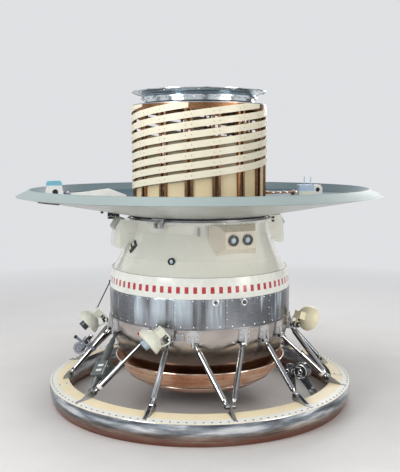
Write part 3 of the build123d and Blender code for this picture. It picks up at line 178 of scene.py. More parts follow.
def start_material(name, metallic=0):
    """New material, its shader and its object coordinates."""
    material = bpy.data.materials.new(name)
    material.use_nodes = True
    nodes = material.node_tree.nodes
    nodes["Principled BSDF"].inputs["Metallic"].default_value = metallic
    return material, nodes["Principled BSDF"], nodes.new("ShaderNodeTexCoord").outputs["Object"]


def surface(shader, tone, worn, height=None, distance=1):
    """Colour, roughness and, with a height, bump of a shader."""
    link(tone, shader.inputs["Base Color"])
    link(worn, shader.inputs["Roughness"])
    if height is not None:
        relief = add("ShaderNodeBump", {"Height": height, "Distance": distance, "Strength": 1})
        link(relief.outputs[0], shader.inputs["Normal"])


def paint(name, color, rough, vary=0.07, grime=GRIME, dirt=0.35, coat=0, peel=PEEL, gloss=0.5, worn=1):
    """Enamel: clouds of tone, thin grime, fine specks, an orange-peel surface."""
    material, shader, place = start_material(name)
    clouds = ramp(noise(place, 3.2, 4), 0.3, 0.7)
    tone = mix(clouds, shade(color, 1 - vary), shade(color, 1 + vary))
    smears = ramp(noise(place, 14, 6, 0.62, 0.6), 0.55, 0.83, 0, dirt)
    tone = mix(smears, tone, tuple(0.5 * (a + b) for a, b in zip(color, grime)))
    specks = ramp(noise(place, 160, 2), 0.74, 0.78, 0, dirt)
    tone = mix(specks, tone, grime)
    dull = ramp(noise(place, 30, 5), 0.3, 0.75, rough - 0.07 * worn, rough + 0.12 * worn)
    surface(shader, tone, dull, noise(place, 420, 2), peel)
    shader.inputs["Coat Weight"].default_value = coat
    shader.inputs["Specular IOR Level"].default_value = gloss
    return material


def metal(name, color, rough, stained, vary=0.1, stain=(0.25, 0.2, 0.15), streaks=(1, 1, 1)):
    """Bare metal: brushed by stretched noise, stained in patches."""
    material, shader, place = start_material(name, 1)
    stretched = add("ShaderNodeMapping", {"Vector": place, "Scale": streaks}).outputs[0]
    brushed = noise(stretched, 90, 5, 0.65)
    tone = mix(ramp(brushed, 0.3, 0.7), shade(color, 1 - vary), shade(color, 1 + vary))
    patches = ramp(noise(place, 9, 6, 0.6, 0.8), 0.52, 0.8, 0, stained)
    tone = mix(patches, tone, stain)
    worn = plus(ramp(brushed, 0.25, 0.75, rough - 0.05, rough + 0.08), times(patches, 0.5))
    surface(shader, tone, worn, times(brushed, 0.00006))
    return material


def glass(name, color, rough):
    """Tinted window over a dark inside."""
    material, shader, place = start_material(name)
    tone = mix(ramp(noise(place, 40, 2), 0.35, 0.65), shade(color, 0.8), shade(color, 1.2))
    link(tone, shader.inputs["Base Color"])
    for key, value in (("Roughness", rough), ("Coat Weight", 1), ("Coat Roughness", 0.02)):
        shader.inputs[key].default_value = value
    return material


def hull_metal():
    """Polished sheet: painted highlights and reflections on cool panels above the seam, warm and duller
    below.
    """
    material, shader, place = start_material("hull_metal", 1)
    turns, z = round_axis(place)
    brushed = noise(unrolled(place, 3.3, 26), 24, 6, 0.7)
    streaks = noise(unrolled(place, 34, 0.9), 1, 4, 0.6)
    broad = noise(unrolled(place, 9, 1.6), 1, 2)
    cool = mix(ramp(broad, 0.36, 0.64), (0.085, 0.095, 0.115), (0.34, 0.36, 0.395))
    # Bright upright streaks that fade out below the seam: painted highlights
    fade = ramp(z, 0.5, 0.6)
    bright = times(ramp(streaks, 0.54, 0.63), fade)
    cool = mix(bright, cool, (0.76, 0.88, 0.97))
    # A broad pale painted reflection left of the front, where the real sheet shows one
    painted_sheen_turn = 0.455
    off = math_node("ABSOLUTE", minus(turns, painted_sheen_turn))
    painted_sheen = times(ramp(off, 0.09, 0.03, 0, 0.8), ramp(streaks, 0.38, 0.52))
    cool = mix(times(painted_sheen, fade), cool, (0.62, 0.71, 0.78))
    # Dark upright streaks: painted dark reflections
    dark = times(ramp(streaks, 0.44, 0.34), 0.75)
    cool = mix(dark, cool, (0.07, 0.075, 0.085))
    cloudy = noise(unrolled(place, 6, 5), 1.3, 4, 0.55)
    warm = mix(ramp(cloudy, 0.34, 0.66), (0.31, 0.265, 0.235), (0.6, 0.55, 0.51))
    # Darker and browner towards the bottom: painted shade and a painted reflection of the pan
    warm = mix(ramp(z, 0.44, 0.3), warm, (0.25, 0.17, 0.12))
    tone = mix(ramp(z, 0.512, 0.498), cool, warm)
    tone = mix(ramp(brushed, 0.4, 0.75, 0, 0.3), tone, (0.8, 0.79, 0.78))
    # Upright joints of the panels above the seam
    panels = 12
    joint = times(ramp(from_middle(turns, panels), 0.006, 0.003), ramp(z, 0.508, 0.51))
    tone = mix(times(joint, 0.75), tone, (0.1, 0.09, 0.08))
    wave = noise(unrolled(place, 22, 2.6), 1, 2)
    height = plus(times(wave, 0.01), plus(times(brushed, 0.00008), times(joint, -0.0006)))
    surface(shader, tone, ramp(brushed, 0.2, 0.8, 0.14, 0.3), height)
    return material


def ring_metal():
    """Ring skin: painted reflections, cool dark and bright patches above, brown below; rusty dust at the
    foot.
    """
    material, shader, place = start_material("ring_metal", 1)
    z = xyz(place)["Z"]
    brushed = noise(unrolled(place, 2, 90), 12, 6, 0.7)
    patches = noise(unrolled(place, 22, 26), 1, 3, 0.55)
    # Cool dark and near-white patches: painted reflections and painted highlights
    cool = stops(patches, (0.34, (0.05, 0.06, 0.075)), (0.45, (0.16, 0.185, 0.22)),
                 (0.54, (0.36, 0.41, 0.47)), (0.64, (0.88, 0.92, 0.95)))
    # Brown below the ragged line: a painted reflection of the reddish ground
    warm = stops(patches, (0.36, (0.1, 0.07, 0.055)), (0.5, (0.235, 0.175, 0.14)),
                 (0.66, (0.52, 0.44, 0.37)))
    ragged = plus(z, times(noise(unrolled(place, 30, 6), 1.6, 4), 0.03))
    tone = mix(ramp(ragged, 0.094, 0.072), cool, warm)
    tone = mix(ramp(brushed, 0.45, 0.7, 0, 0.3), tone, (0.8, 0.8, 0.8))
    dust_line = plus(z, times(noise(place, 16, 6, 0.7), -0.05))
    dusty = ramp(dust_line, 0.03, -0.012)
    tone = mix(times(dusty, 0.85), tone, (0.3, 0.125, 0.09))
    worn = plus(ramp(brushed, 0.2, 0.8, 0.15, 0.28), times(dusty, 0.3))
    waves = noise(unrolled(place, 40, 5), 1, 3)
    surface(shader, tone, worn, plus(times(waves, 0.005), times(brushed, 0.00008)))
    return material


def strut_chrome():
    """Polished tube: painted reflections in dark and bright lines along it, and a few stains."""
    material, shader, place = start_material("strut_chrome", 1)
    # Painted reflections set by the way the surface faces: brown below for the ground, a dark horizon line,
    # bright above
    normal = xyz(place.node.outputs["Normal"])
    wobble = times(noise(place, 9, 2), 0.12)
    turn = plus(plus(times(normal["Z"], 0.5), times(normal["X"], 0.16)), plus(wobble, 0.44))
    tone = stops(turn, (0.1, (0.13, 0.095, 0.075)), (0.4, (0.34, 0.31, 0.29)), (0.47, (0.03, 0.03, 0.035)),
                 (0.56, (0.05, 0.05, 0.055)), (0.62, (0.6, 0.61, 0.63)), (0.7, (0.97, 0.97, 0.97)),
                 (0.78, (0.3, 0.31, 0.33)), (0.84, (0.1, 0.1, 0.11)), (0.92, (0.7, 0.71, 0.73)))
    fine = noise(place, 260, 3)
    tone = mix(ramp(fine, 0.5, 0.8, 0, 0.2), tone, (0.7, 0.7, 0.7))
    stains = ramp(noise(place, 18, 5, 0.6, 0.6), 0.6, 0.8, 0, 0.4)
    tone = mix(stains, tone, (0.22, 0.19, 0.16))
    surface(shader, tone, plus(ramp(fine, 0.2, 0.8, 0.1, 0.17), times(stains, 0.3)))
    return material


def pan_metal():
    """Copper-brown dish: rings round the axis, stained clouds, painted shade towards the floor."""
    material, shader, place = start_material("pan_metal", 0.5)
    rings = noise(unrolled(place, 0.5, 220, 90), 1, 3, 0.6)
    clouds = noise(unrolled(place, 14, 9), 1, 4, 0.55)
    tone = stops(clouds, (0.34, (0.57, 0.25, 0.13)), (0.5, (0.9, 0.5, 0.31)), (0.66, (0.98, 0.7, 0.49)))
    tone = mix(ramp(rings, 0.5, 0.75, 0, 0.14), tone, (0.9, 0.68, 0.52))
    # Painted shade: darker towards the floor
    tone = mix(ramp(xyz(place)["Z"], 0.15, 0.105), tone, (0.2, 0.095, 0.06))
    height = plus(times(clouds, 0.004), times(rings, 0.0002))
    surface(shader, tone, ramp(rings, 0.2, 0.8, 0.2, 0.36), height)
    return material


def coordinates(material):
    """Texture coordinates for a material."""
    return material.node_tree.nodes.new("ShaderNodeTexCoord").outputs


def overlay(material, factor, color):
    """A material with another colour laid over its own."""
    target = material.node_tree.nodes["Principled BSDF"].inputs["Base Color"]
    link(mix(factor, target.links[0].from_socket, color), target)
    return material


def drum_paint(color, gap_shade):
    """Beige sheet with painted shade in the gaps behind the helix."""
    material = paint("panel_beige", color, 0.38, 0.08, (0.35, 0.22, 0.1))
    turns, z = round_axis(coordinates(material)["Object"])
    # The lowest edge of the helix climbs one lead in a turn
    climb = math_node("FRACT", minus(turns, (HELIX_FIRST_AZ + 180) / 360))
    edge_z = plus(times(climb, HELIX_LEAD), HELIX_LOW_Z)
    # Painted shade: darker above the lowest edge of the helix, in the gaps behind it
    return overlay(material, ramp(minus(z, edge_z), 0.01, 0.045), gap_shade)


def rim_paint(color, inside):
    """Grey-green enamel, darker on the side that faces the antenna."""
    material = paint("disc_rim_paint", color, 0.38, 0.03, (0.2, 0.22, 0.2), 0.04, 0, FINE_PEEL, 0.2, 0.2)
    spot = coordinates(material)
    level = vector_node("MULTIPLY", spot["Object"], (1, 1, 0)).outputs[0]
    away = vector_node("DOT_PRODUCT", level, spot["Normal"]).outputs["Value"]
    return overlay(material, ramp(away, 0.05, -0.1), inside)


def band_paint(color, red):
    """Cream enamel with a plain pattern of red dashes."""
    material = paint("band_paint", color, rough=0.25, coat=0.3)
    turns, z = round_axis(coordinates(material)["Object"])
    dashes = 72
    between = times(ramp(z, 0.7015, 0.7025), ramp(z, 0.7375, 0.7365))
    return overlay(material, times(ramp(from_middle(turns, dashes), 0.24, 0.22), between), red)


# Colour, roughness, variation of tone, grime, share of dirt, coat, height of the peel, gloss, wear
PAINTS = {
    "deck_paint": ((0.92, 0.8, 0.545), 0.42, 0.05, (0.45, 0.33, 0.22), 0.3),
    "strip_paint": ((0.84, 0.84, 0.79), 0.38, 0.05, GRIME, 0.3),
    "bracket_grey": ((0.56, 0.56, 0.58), 0.36, 0.08, (0.25, 0.22, 0.2)),
    "sleeve_grey": ((0.1, 0.11, 0.115), 0.2, 0.15, (0.3, 0.3, 0.3), 0.3, 0.6),
    "cream_paint": ((0.83, 0.835, 0.75), 0.19, 0.035, (0.42, 0.4, 0.33), 0.16, 0.8, PEEL, 0.6),
    "housing_cream": ((0.74, 0.685, 0.565), 0.28, 0.03, (0.42, 0.38, 0.3), 0.1, 0.2),
    "hood_paint": ((0.46, 0.5, 0.44), 0.35),
    "black": ((0.02, 0.02, 0.022), 0.3, 0.2, (0.1, 0.1, 0.1), 0.3),
    "disc_paint": ((0.45, 0.475, 0.45), 0.3, 0.03, (0.32, 0.33, 0.3), 0.05, 0.15, FINE_PEEL, 0.5, 0.2),
    "disc_floor_paint": ((0.06, 0.097, 0.12), 0.45, 0.05, (0.12, 0.12, 0.11), 0.12, 0, FINE_PEEL, 0.1, 0.3),
    "helix_cream": ((0.83, 0.775, 0.605), 0.34, 0.05, (0.45, 0.36, 0.22), 0.22),
    "unit_white": ((0.82, 0.81, 0.77), 0.3, 0.05, GRIME, 0.2),
    "cap_cyan": ((0.2, 0.5, 0.62), 0.3, 0.12),
    "box_blue": ((0.45, 0.6, 0.76), 0.32),
    "lamp_cream": ((0.84, 0.85, 0.73), 0.28, 0.06, (0.46, 0.42, 0.32), 0.25),
    # A lighter, yellower copy of the lamp cream, as painted light on the third lamp
    "lamp_yellow": ((0.98, 0.9, 0.65), 0.3, 0.04, (0.6, 0.5, 0.3), 0.15),
    "box_green": ((0.105, 0.13, 0.125), 0.4, 0.15, (0.2, 0.2, 0.18)),
    "box_slate": ((0.235, 0.265, 0.33), 0.3, 0.1, (0.2, 0.2, 0.2)),
    "probe_dark": ((0.022, 0.026, 0.034), 0.16, 0.3, (0.2, 0.2, 0.2), 0.2, 0.9),
    "red_cap": ((0.45, 0.02, 0.03), 0.3),
}
# Colour, roughness, share of stains, variation of tone, stain, scale of the streaks
METALS = {
    "grey_metal": ((0.4, 0.41, 0.42), 0.34, 0.4),
    "pan_edge": ((0.88, 0.7, 0.57), 0.2, 0.2),
    "copper": ((0.3, 0.15, 0.072), 0.28, 0.6, 0.3, (0.07, 0.02, 0.012)),
    "flange_metal": ((0.62, 0.67, 0.7), 0.15, 0.25, 0.1, (0.16, 0.18, 0.2), (0.3, 0.3, 3)),
    "rivet_dark": ((0.1, 0.09, 0.08), 0.4, 0.3),
    "rivet_bright": ((0.85, 0.86, 0.87), 0.18, 0.1),
}
# Colour, roughness
GLASSES = {
    "glass": ((0.16, 0.22, 0.22), 0.04),
    "bulb_glass": ((0.52, 0.66, 0.76), 0.1),
    "lens_dark": ((0.02, 0.025, 0.035), 0.03),
}
MATERIALS = {
    "ring_metal": ring_metal(),
    "strut_chrome": strut_chrome(),
    "hull_metal": hull_metal(),
    "pan_paint": pan_metal(),
    "band_paint": band_paint((0.88, 0.9, 0.84), (0.5, 0.035, 0.05)),
    "disc_rim_paint": rim_paint((0.225, 0.275, 0.27), (0.125, 0.17, 0.185)),
    # The second colour of the beige sheet is painted shade for the gaps behind the helix
    "panel_beige": drum_paint((0.76, 0.62, 0.375), (0.245, 0.2, 0.105)),
}
for kind, table in ((paint, PAINTS), (metal, METALS), (glass, GLASSES)):
    for finish, look in table.items():
        MATERIALS[finish] = kind(finish, *look)

OTHER_FINISH = {"hull_band": "band_paint", "disc_rim": "disc_rim_paint", "disc_floor": "disc_floor_paint",
                "strut_brackets": "bracket_grey", "nozzles": "grey_metal", "lamp_1_bulb": "lens_dark",
                # The third lamp's head takes the lighter copy of the lamp cream: painted light
                "photometer_housing": "housing_cream", "lamp_3_head": "lamp_yellow"}
SLOTS = {row["node"]: row["material_slot"] for row in frame["record"]["subparts"]}
for node_name, node in frame["nodes"].items():
    for material_slot in node.material_slots:
        material_slot.material = MATERIALS[OTHER_FINISH.get(node_name, SLOTS[node_name])]


# places


def polar(radius, azimuth, z):
    """A point at a radius, an azimuth and a height."""
    angle = math.radians(azimuth)
    return Vector((radius * math.sin(angle), -radius * math.cos(angle), z))


def out_at(azimuth):
    """Outward direction."""
    return polar(1, azimuth, 0)


def along_at(azimuth):
    """Direction along the tangent, towards a larger azimuth."""
    return polar(1, azimuth + 90, 0)


def round_seat(count, first=0):
    """Evenly spaced azimuths."""
    return [first + 360 * number / count for number in range(count)]


def shift(x, y, z):
    """A move."""
    return Matrix.Translation((x, y, z))


def rotation(degrees, axis):
    """A turn round an axis."""
    return Matrix.Rotation(math.radians(degrees), 4, axis)


def axes_at(origin, x_axis, y_axis, z_axis):
    """Local frame from its origin and its axes."""
    place = Matrix((x_axis, y_axis, z_axis)).transposed().to_4x4()
    place.translation = origin
    return place


def station(azimuth, radius=0, z=0):
    """Local frame on the azimuth: X along the tangent, Y outward, Z up."""
    return axes_at(polar(radius, azimuth, z), along_at(azimuth), out_at(azimuth), Vector(UP))


def wall_seat(azimuth, x, radius, z):
    """Local frame at a point of a station, whose Z points outward."""
    return station(azimuth) @ shift(x, radius, z) @ rotation(-90, "X")


def facing(point, normal, turn=0):
    """Local frame at a point whose Z is the normal."""
    place = Vector(normal).to_track_quat("Z", "Y").to_matrix().to_4x4()
    place.translation = point
    return place @ rotation(turn, "Z")


def deck_z(radius):
    """Height of the deck's upper side at a radius."""
    return DECK_Z - (radius - DECK_R) / (EDGE_R - DECK_R) * DECK_FALL


def under_z(radius):
    """Height of the disc's underside at a radius."""
    hub_r, hub_z, reach, rise = 0.41, 1.085, 0.64, 0.114
    return hub_z + (radius - hub_r) / reach * rise


def pan_profile(z):
    """Radius of the pan at a height, on the arc through three points of its side."""
    a, b, c = Vector((0.29, 0.088)), Vector((0.417, 0.151)), Vector((0.5, 0.258))
    turn = 2 * (a.x * (b.y - c.y) + b.x * (c.y - a.y) + c.x * (a.y - b.y))
    x = (a.dot(a) * (b.y - c.y) + b.dot(b) * (c.y - a.y) + c.dot(c) * (a.y - b.y)) / turn
    y = (a.dot(a) * (c.x - b.x) + b.dot(b) * (a.x - c.x) + c.dot(c) * (b.x - a.x)) / turn
    reach = math.hypot(a.x - x, a.y - y)
    return x + math.sqrt(reach ** 2 - (z - y) ** 2)


# shapes


def circle(radius, count):
    """Evenly spaced (x, y) points of a circle, or its middle where the radius is 0."""
    turns = [2 * math.pi * step / count for step in range(count)]
    return [(radius * math.cos(turn), radius * math.sin(turn)) for turn in turns] if radius else [(0, 0)]


def join_rows(mesh, rows, capped=False):
    """Faces between rows of points that go round; a row may be a single point."""
    for low, high in zip(rows, rows[1:]):
        count = max(len(low), len(high))
        for step in range(count):
            after = (step + 1) % count
            corners = [low[step % len(low)], low[after % len(low)]]
            corners += [high[after % len(high)], high[step % len(high)]]
            mesh.faces.new(list(dict.fromkeys(corners)))
    if capped:
        mesh.faces.new(rows[0][::-1])
        mesh.faces.new(rows[-1])


def spin(mesh, outline, place, segments=24):
    """Revolve an outline of (radius, height) round the Z of a local frame."""
    join_rows(mesh, [[mesh.verts.new(place @ Vector((x, y, height))) for x, y in circle(radius, segments)]
                     for radius, height in outline])


def rivet(mesh, point, normal, radius, height, segments=8):
    """Domed head."""
    outline = [(radius, -0.0005), (radius, 0.15 * height), (0.86 * radius, 0.62 * height),
               (0.5 * radius, 0.92 * height), (0, height)]
    spin(mesh, outline, facing(point, normal), segments)


def hex_bolt(mesh, point, normal, radius, height, turn=0):
    """Hexagon head on a washer, with a chamfered top."""
    place = facing(point, normal, turn)
    washer = ((1.35, -0.0003 / height), (1.35, 0.16), (1.28, 0.2), (1, 0.2))
    head = ((1, 0.18), (1, 0.86), (0.86, 1), (0, 1))
    for outline, segments in ((washer, 16), (head, 6)):
        spin(mesh, [(radius * x, height * z) for x, z in outline], place, segments)


def bar(mesh, start, end, radius, segments=16, chamfer=0.12):
    """Round bar between two points with chamfered ends."""
    length = (end - start).length
    cut = min(chamfer * radius, length / 4)
    outline = [(0, 0), (radius - cut, 0), (radius, cut),
               (radius, length - cut), (radius - cut, length), (0, length)]
    spin(mesh, outline, facing(start, end - start), segments)


def block(mesh, place, size, cut=0.0015):
    """Block centred on a local frame, with chamfered edges."""
    x, y, z = (value / 2 for value in size)
    cut = min(cut, x / 3, y / 3, z / 3)

    def loop(inset, height):
        a, b, c = x - inset, y - inset, cut
        corners = ((-a + c, -b), (a - c, -b), (a, -b + c), (a, b - c),
                   (a - c, b), (-a + c, b), (-a, b - c), (-a, -b + c))
        return [mesh.verts.new(place @ Vector((u, v, height))) for u, v in corners]

    join_rows(mesh, [loop(cut, -z), loop(0, -z + cut), loop(0, z - cut), loop(cut, z)], True)


def bead(mesh, place, ring_radius, radius, segments=48, sides=8, start=0, sweep=360):
    """Round wire along a circle, or part of one, round the Z of a local frame."""
    closed = sweep >= 360
    rows = []
    for step in range(segments if closed else segments + 1):
        angle = math.radians(start + sweep * step / segments)
        across = Vector((math.cos(angle), math.sin(angle), 0))
        spots = [across * (ring_radius + x) + Vector((0, 0, z)) for x, z in circle(radius, sides)]
        rows.append([mesh.verts.new(place @ spot) for spot in spots])
    join_rows(mesh, rows + rows[:1] if closed else rows, not closed)


def level_bead(mesh, z, *sizes):
    """Bead round the axis at a height."""
    bead(mesh, shift(0, 0, z), *sizes)


def pipe(mesh, points, radius, sides=10):
    """Round tube along smooth points, closed at both ends."""
    rows = []
    side_way = (points[1] - points[0]).normalized().orthogonal().normalized()
    for index, point in enumerate(points):
        before = points[max(index - 1, 0)]
        after = points[min(index + 1, len(points) - 1)]
        along = (after - before).normalized()
        side_way = (side_way - along * side_way.dot(along)).normalized()
        other = along.cross(side_way)
        rows.append([mesh.verts.new(point + side_way * x + other * y) for x, y in circle(radius, sides)])
    join_rows(mesh, rows, True)


def curve_points(corners, count):
    """Points of a smooth curve through the corners."""
    corners = [Vector(corner) for corner in corners]
    padded = [2 * corners[0] - corners[1]] + corners + [2 * corners[-1] - corners[-2]]
    found = []
    for index in range(1, len(padded) - 2):
        a, b, c, d = padded[index - 1:index + 3]
        for step in range(count):
            t = step / count
            bend = (2 * a - 5 * b + 4 * c - d) * t * t + (3 * b - a - 3 * c + d) * t ** 3
            found.append(0.5 * (2 * b + (c - a) * t + bend))
    found.append(corners[-1])
    return found


PIECES = []
# Pairs of a finish and a slot
BRIGHT, DARK = ("rivet_bright", "grey_metal"), ("rivet_dark", "grey_metal")
BLACK, WHITE = ("black", "black"), ("unit_white", "unit_white")


def piece(name, finish, slot, body=ROOT):
    """Start a named piece with an empty mesh, which becomes an object later."""
    mesh = bmesh.new()
    PIECES.append((name, mesh, finish, slot, body))
    return mesh


def make_piece(name, mesh, finish, slot, body):
    """Turn a filled mesh into an object that rides on its body."""
    sharp = math.radians(34)
    bmesh.ops.recalc_face_normals(mesh, faces=mesh.faces)
    for face in mesh.faces:
        face.smooth = True
    for edge in mesh.edges:
        if len(edge.link_faces) == 2 and edge.calc_face_angle(0) > sharp:
            edge.smooth = False
    data = bpy.data.meshes.new(name)
    mesh.to_mesh(data)
    mesh.free()
    data.materials.append(MATERIALS[finish])
    thing = bpy.data.objects.new(name, data)
    bpy.context.collection.objects.link(thing)
    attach(thing, body)


# ring, hull, pan and neck


def ring_details():
    """Rivets, joint strips over the deck, seam beads."""
    rivets = piece("ring_strip_rivets", *DARK)
    for azimuth in round_seat(132, 1.2):
        rivet(rivets, polar(STRIP_RIVET_R, azimuth, deck_z(STRIP_RIVET_R) + 0.0017), UP, 0.0046, 0.0024)
    strips = piece("deck_joint_strips", "strip_paint", "strip_paint")
    screws = piece("deck_joint_screws", *DARK)
    slope = math.degrees(math.atan2(DECK_FALL, EDGE_R - DECK_R))
    middle = 0.5 * (0.8 + 0.843)
    for azimuth in (-71, 84):
        place = station(azimuth, middle, deck_z(middle) + 0.0009) @ rotation(-slope, "X")
        block(strips, place, (0.014, 0.06, 0.0018), 0.0006)
        for radius in (0.8, 0.838):
            rivet(screws, polar(radius, azimuth, deck_z(radius) + 0.0017), UP, 0.005, 0.002)
    beads = piece("ring_seam_beads", "rivet_bright", "ring_metal")
    level_bead(beads, 0.1225, 0.8838, 0.0011, 180, 6)
    level_bead(beads, 0.02, 0.8668, 0.001, 180, 6)


def hull_details():
    """Rivets, the seam belt between the shells, four eyelets."""
    rivets = piece("hull_rivets", "rivet_bright", "hull_metal")
    for azimuth in round_seat(64, 2):
        rivet(rivets, polar(HULL_R, azimuth, 0.6625), out_at(azimuth), 0.0034, 0.0022)
    for azimuth in round_seat(48, 4.1):
        rivet(rivets, polar(HULL_R - 0.0002, azimuth, 0.5225), out_at(azimuth), 0.0044, 0.0026)
    for azimuth in round_seat(12, 15):
        for z in (0.56, 0.598, 0.636):
            rivet(rivets, polar(HULL_R, azimuth + 0.9, z), out_at(azimuth), 0.0026, 0.0016)
    belt = piece("hull_seam_belt", "hull_metal", "hull_metal")
    spin(belt, [(0.5294, 0.506), (0.5308, 0.5066), (0.5314, 0.508), (0.5314, 0.5092), (0.5308, 0.5106),
                (0.5298, 0.5112)], Matrix(), 144)
    spin(belt, [(0.5296, 0.6676), (0.5308, 0.6682), (0.5312, 0.6694), (0.5308, 0.6706), (0.528, 0.6712)],
         Matrix(), 144)
    eyelets = piece("hull_eyelets", "rivet_bright", "hull_metal")
    bolts = piece("hull_eyelet_bolts", *DARK)
    for azimuth, z in ((9.2, 0.655), (26.7, 0.648), (-150, 0.652), (150, 0.652)):
        seat = facing(polar(HULL_R + 0.0012, azimuth, z), out_at(azimuth))
        bead(eyelets, seat, 0.015, 0.003, 32, 8)
        spin(eyelets, [(0.0185, -0.001), (0.0185, 0.0008), (0.0125, 0.0012), (0.0125, -0.001)], seat, 28)
        hex_bolt(bolts, polar(HULL_R, azimuth, z), out_at(azimuth), 0.0055, 0.0045)


def pan_details():
    """Bright lip, a dark seam low on the side, screws."""
    edges = piece("pan_edges", "pan_edge", "pan_paint")
    level_bead(edges, 0.257, 0.4975, 0.004, 160, 8)
    level_bead(edges, 0.1555, pan_profile(0.1555) + 0.0005, 0.0028, 160, 8)
    seam = piece("pan_seam", *BLACK)
    level_bead(seam, 0.16, pan_profile(0.16) - 0.0004, 0.0024, 160, 6)
    screws = piece("pan_screws", *DARK)
    for azimuth in round_seat(32, 4):
        rivet(screws, polar(pan_profile(0.232), azimuth, 0.232), polar(1, azimuth, -0.7), 0.0034, 0.002)


def neck_details():
    """Weld beads, screws, a dark seal under the disc, collar bolts."""
    beads = piece("neck_weld_beads", "cream_paint", "cream_paint")
    for z, radius in ((0.7846, 0.5112), (0.8612, 0.4612), (1.001, 0.4072)):
        level_bead(beads, z, radius, 0.0014, 144, 6)
    line = piece("band_seam_line", "rivet_dark", "cream_paint")
    level_bead(line, 0.7834, 0.513, 0.0009, 144, 6)
    screws = piece("neck_screws", *DARK)
    for azimuth in round_seat(36, 4):
        rivet(screws, polar(0.4725, azimuth, 0.8335), polar(1, azimuth, 0.5), 0.0026, 0.0016)
    seal = piece("disc_seal", *BLACK)
    outline = ((0.394, 1.0758), (0.4045, 1.076), (0.407, 1.08), (0.4045, 1.0838), (0.394, 1.0842))
    rows = []
    for azimuth in round_seat(120):
        angle = math.radians(azimuth)
        wave = 0.0035 * math.sin(9 * angle) + 0.002 * math.sin(23 * angle + math.radians(40))
        rows.append([seal.verts.new(polar(radius + wave, azimuth, z)) for radius, z in outline])
    for low, high in zip(rows, rows[1:] + rows[:1]):
        for corners in zip(low, high, high[1:], low[1:]):
            seal.faces.new(corners)
    bolts = piece("collar_bolts", "rivet_bright", "strip_paint")
    for azimuth in round_seat(24, 3):
        hex_bolt(bolts, polar(0.422, azimuth, 1.059), out_at(azimuth), 0.004, 0.0034)


# struts and what they carry


def strut_line(foot_az, top_az, foot_side, top_side):
    """Centres of a strut's lower and upper eye."""
    low = polar(FOOT_PIN[0], foot_az, FOOT_PIN[1]) + foot_side * along_at(foot_az)
    high = polar(TOP_PIN[0], top_az, TOP_PIN[1]) + top_side * along_at(top_az)
    return low, high


def strut_details():
    """Pins through the eyes, screws, white collars on the dampers."""
    pins = piece("strut_pins", *DARK)
    screws = piece("strut_screws", *DARK)
    collars = piece("damper_collars", *WHITE)
    pin_radius, head_sunk = 0.0052, 0.002
    for number, azimuth in enumerate(FEET):
        paired = number % 2 == 0
        tangent = along_at(azimuth)
        foot = polar(FOOT_PIN[0], azimuth, FOOT_PIN[1])
        wide = 0.0285 if paired else 0.0185
        bar(pins, foot - tangent * wide, foot + tangent * wide, pin_radius)
        for hand in (-1, 1):
            spot = foot + tangent * hand * (wide - head_sunk)
            hex_bolt(pins, spot, tangent * hand, 0.0068, 0.0052, 17 * number)
        for hand in (-1, 1) if paired else (0,):
            top_az = azimuth + hand * V_SPREAD
            across = along_at(top_az)
            top = polar(TOP_PIN[0], top_az, TOP_PIN[1])
            left, right = {-1: (0.0085, 0.0285), 0: (0.0185, 0.0185), 1: (0.0285, 0.0085)}[hand]
            bar(pins, top - across * left, top + across * right, pin_radius)
            hex_bolt(pins, top + across * (right - head_sunk), across, 0.0066, 0.005)
            hex_bolt(pins, top - across * (left - head_sunk), -across, 0.0066, 0.005)
            for x in (-0.023, 0.023):
                for z in (0.4485, 0.4735, 0.4985):
                    rivet(screws, polar(0.535, top_az, z) + across * x, out_at(top_az), 0.003, 0.0018)
        if number not in (3, 9):
            for radius, x in ((0.8605, 0.0035), (0.8605, -0.0035), (0.838, 0.0095), (0.838, -0.0095)):
                lift = 0.0056 if radius > STRIP_R else 0.004
                spot = polar(radius, azimuth, deck_z(radius) + lift) + tangent * x
                rivet(screws, spot, UP, 0.0024, 0.0015)
    outline = [(0.0176, 0.0318), (0.0186, 0.0322), (0.0188, 0.04), (0.0188, 0.0478), (0.0186, 0.0508),
               (0.016, 0.0512)]
    for number, hand in ((2, -1), (10, 1), (4, 1), (8, -1)):
        azimuth = FEET[number]
        low, high = strut_line(azimuth, azimuth + hand * V_SPREAD, hand * V_SIDE, -hand * V_SIDE)
        spin(collars, outline, facing(low, high - low), 28)


def instrument_details():
    """Blank labels, screws, a rod and a socket on the instrument box."""
    low, high = strut_line(BOX_FOOT_AZ, BOX_TOP_AZ, -V_SIDE, V_SIDE)
    axis = (high - low).normalized()
    across = along_at(BOX_FOOT_AZ)
    across = (across - axis * across.dot(axis)).normalized()
    place = axes_at(low + (high - low) * 0.345, across, axis.cross(across), axis)
    near = 1 if (place.to_3x3() @ Vector((0, 1, 0))).y < 0 else -1
    labels = piece("instrument_box_labels", *WHITE)
    for z in (0.016, -0.014):
        block(labels, place @ shift(0.024, near * 0.0302, z), (0.04, 0.001, 0.013), 0.0004)
    screws = piece("instrument_box_screws", *BRIGHT)
    for x in (-0.02, 0.064):
        for z in (-0.038, 0.038):
            spot = place @ Vector((x, near * 0.03, z))
            rivet(screws, spot, place.to_3x3() @ Vector((0, near, 0)), 0.003, 0.002)
    fittings = piece("instrument_box_fittings", *BRIGHT)
    rod_ends = [place @ Vector((0.0635, near * 0.03, z)) for z in (0.034, -0.034)]
    bar(fittings, *rod_ends, 0.001)
    socket_ends = [place @ Vector((x, near * 0.02, 0.012)) for x in (0.0705, 0.076)]
    bar(fittings, *socket_ends, 0.0085)


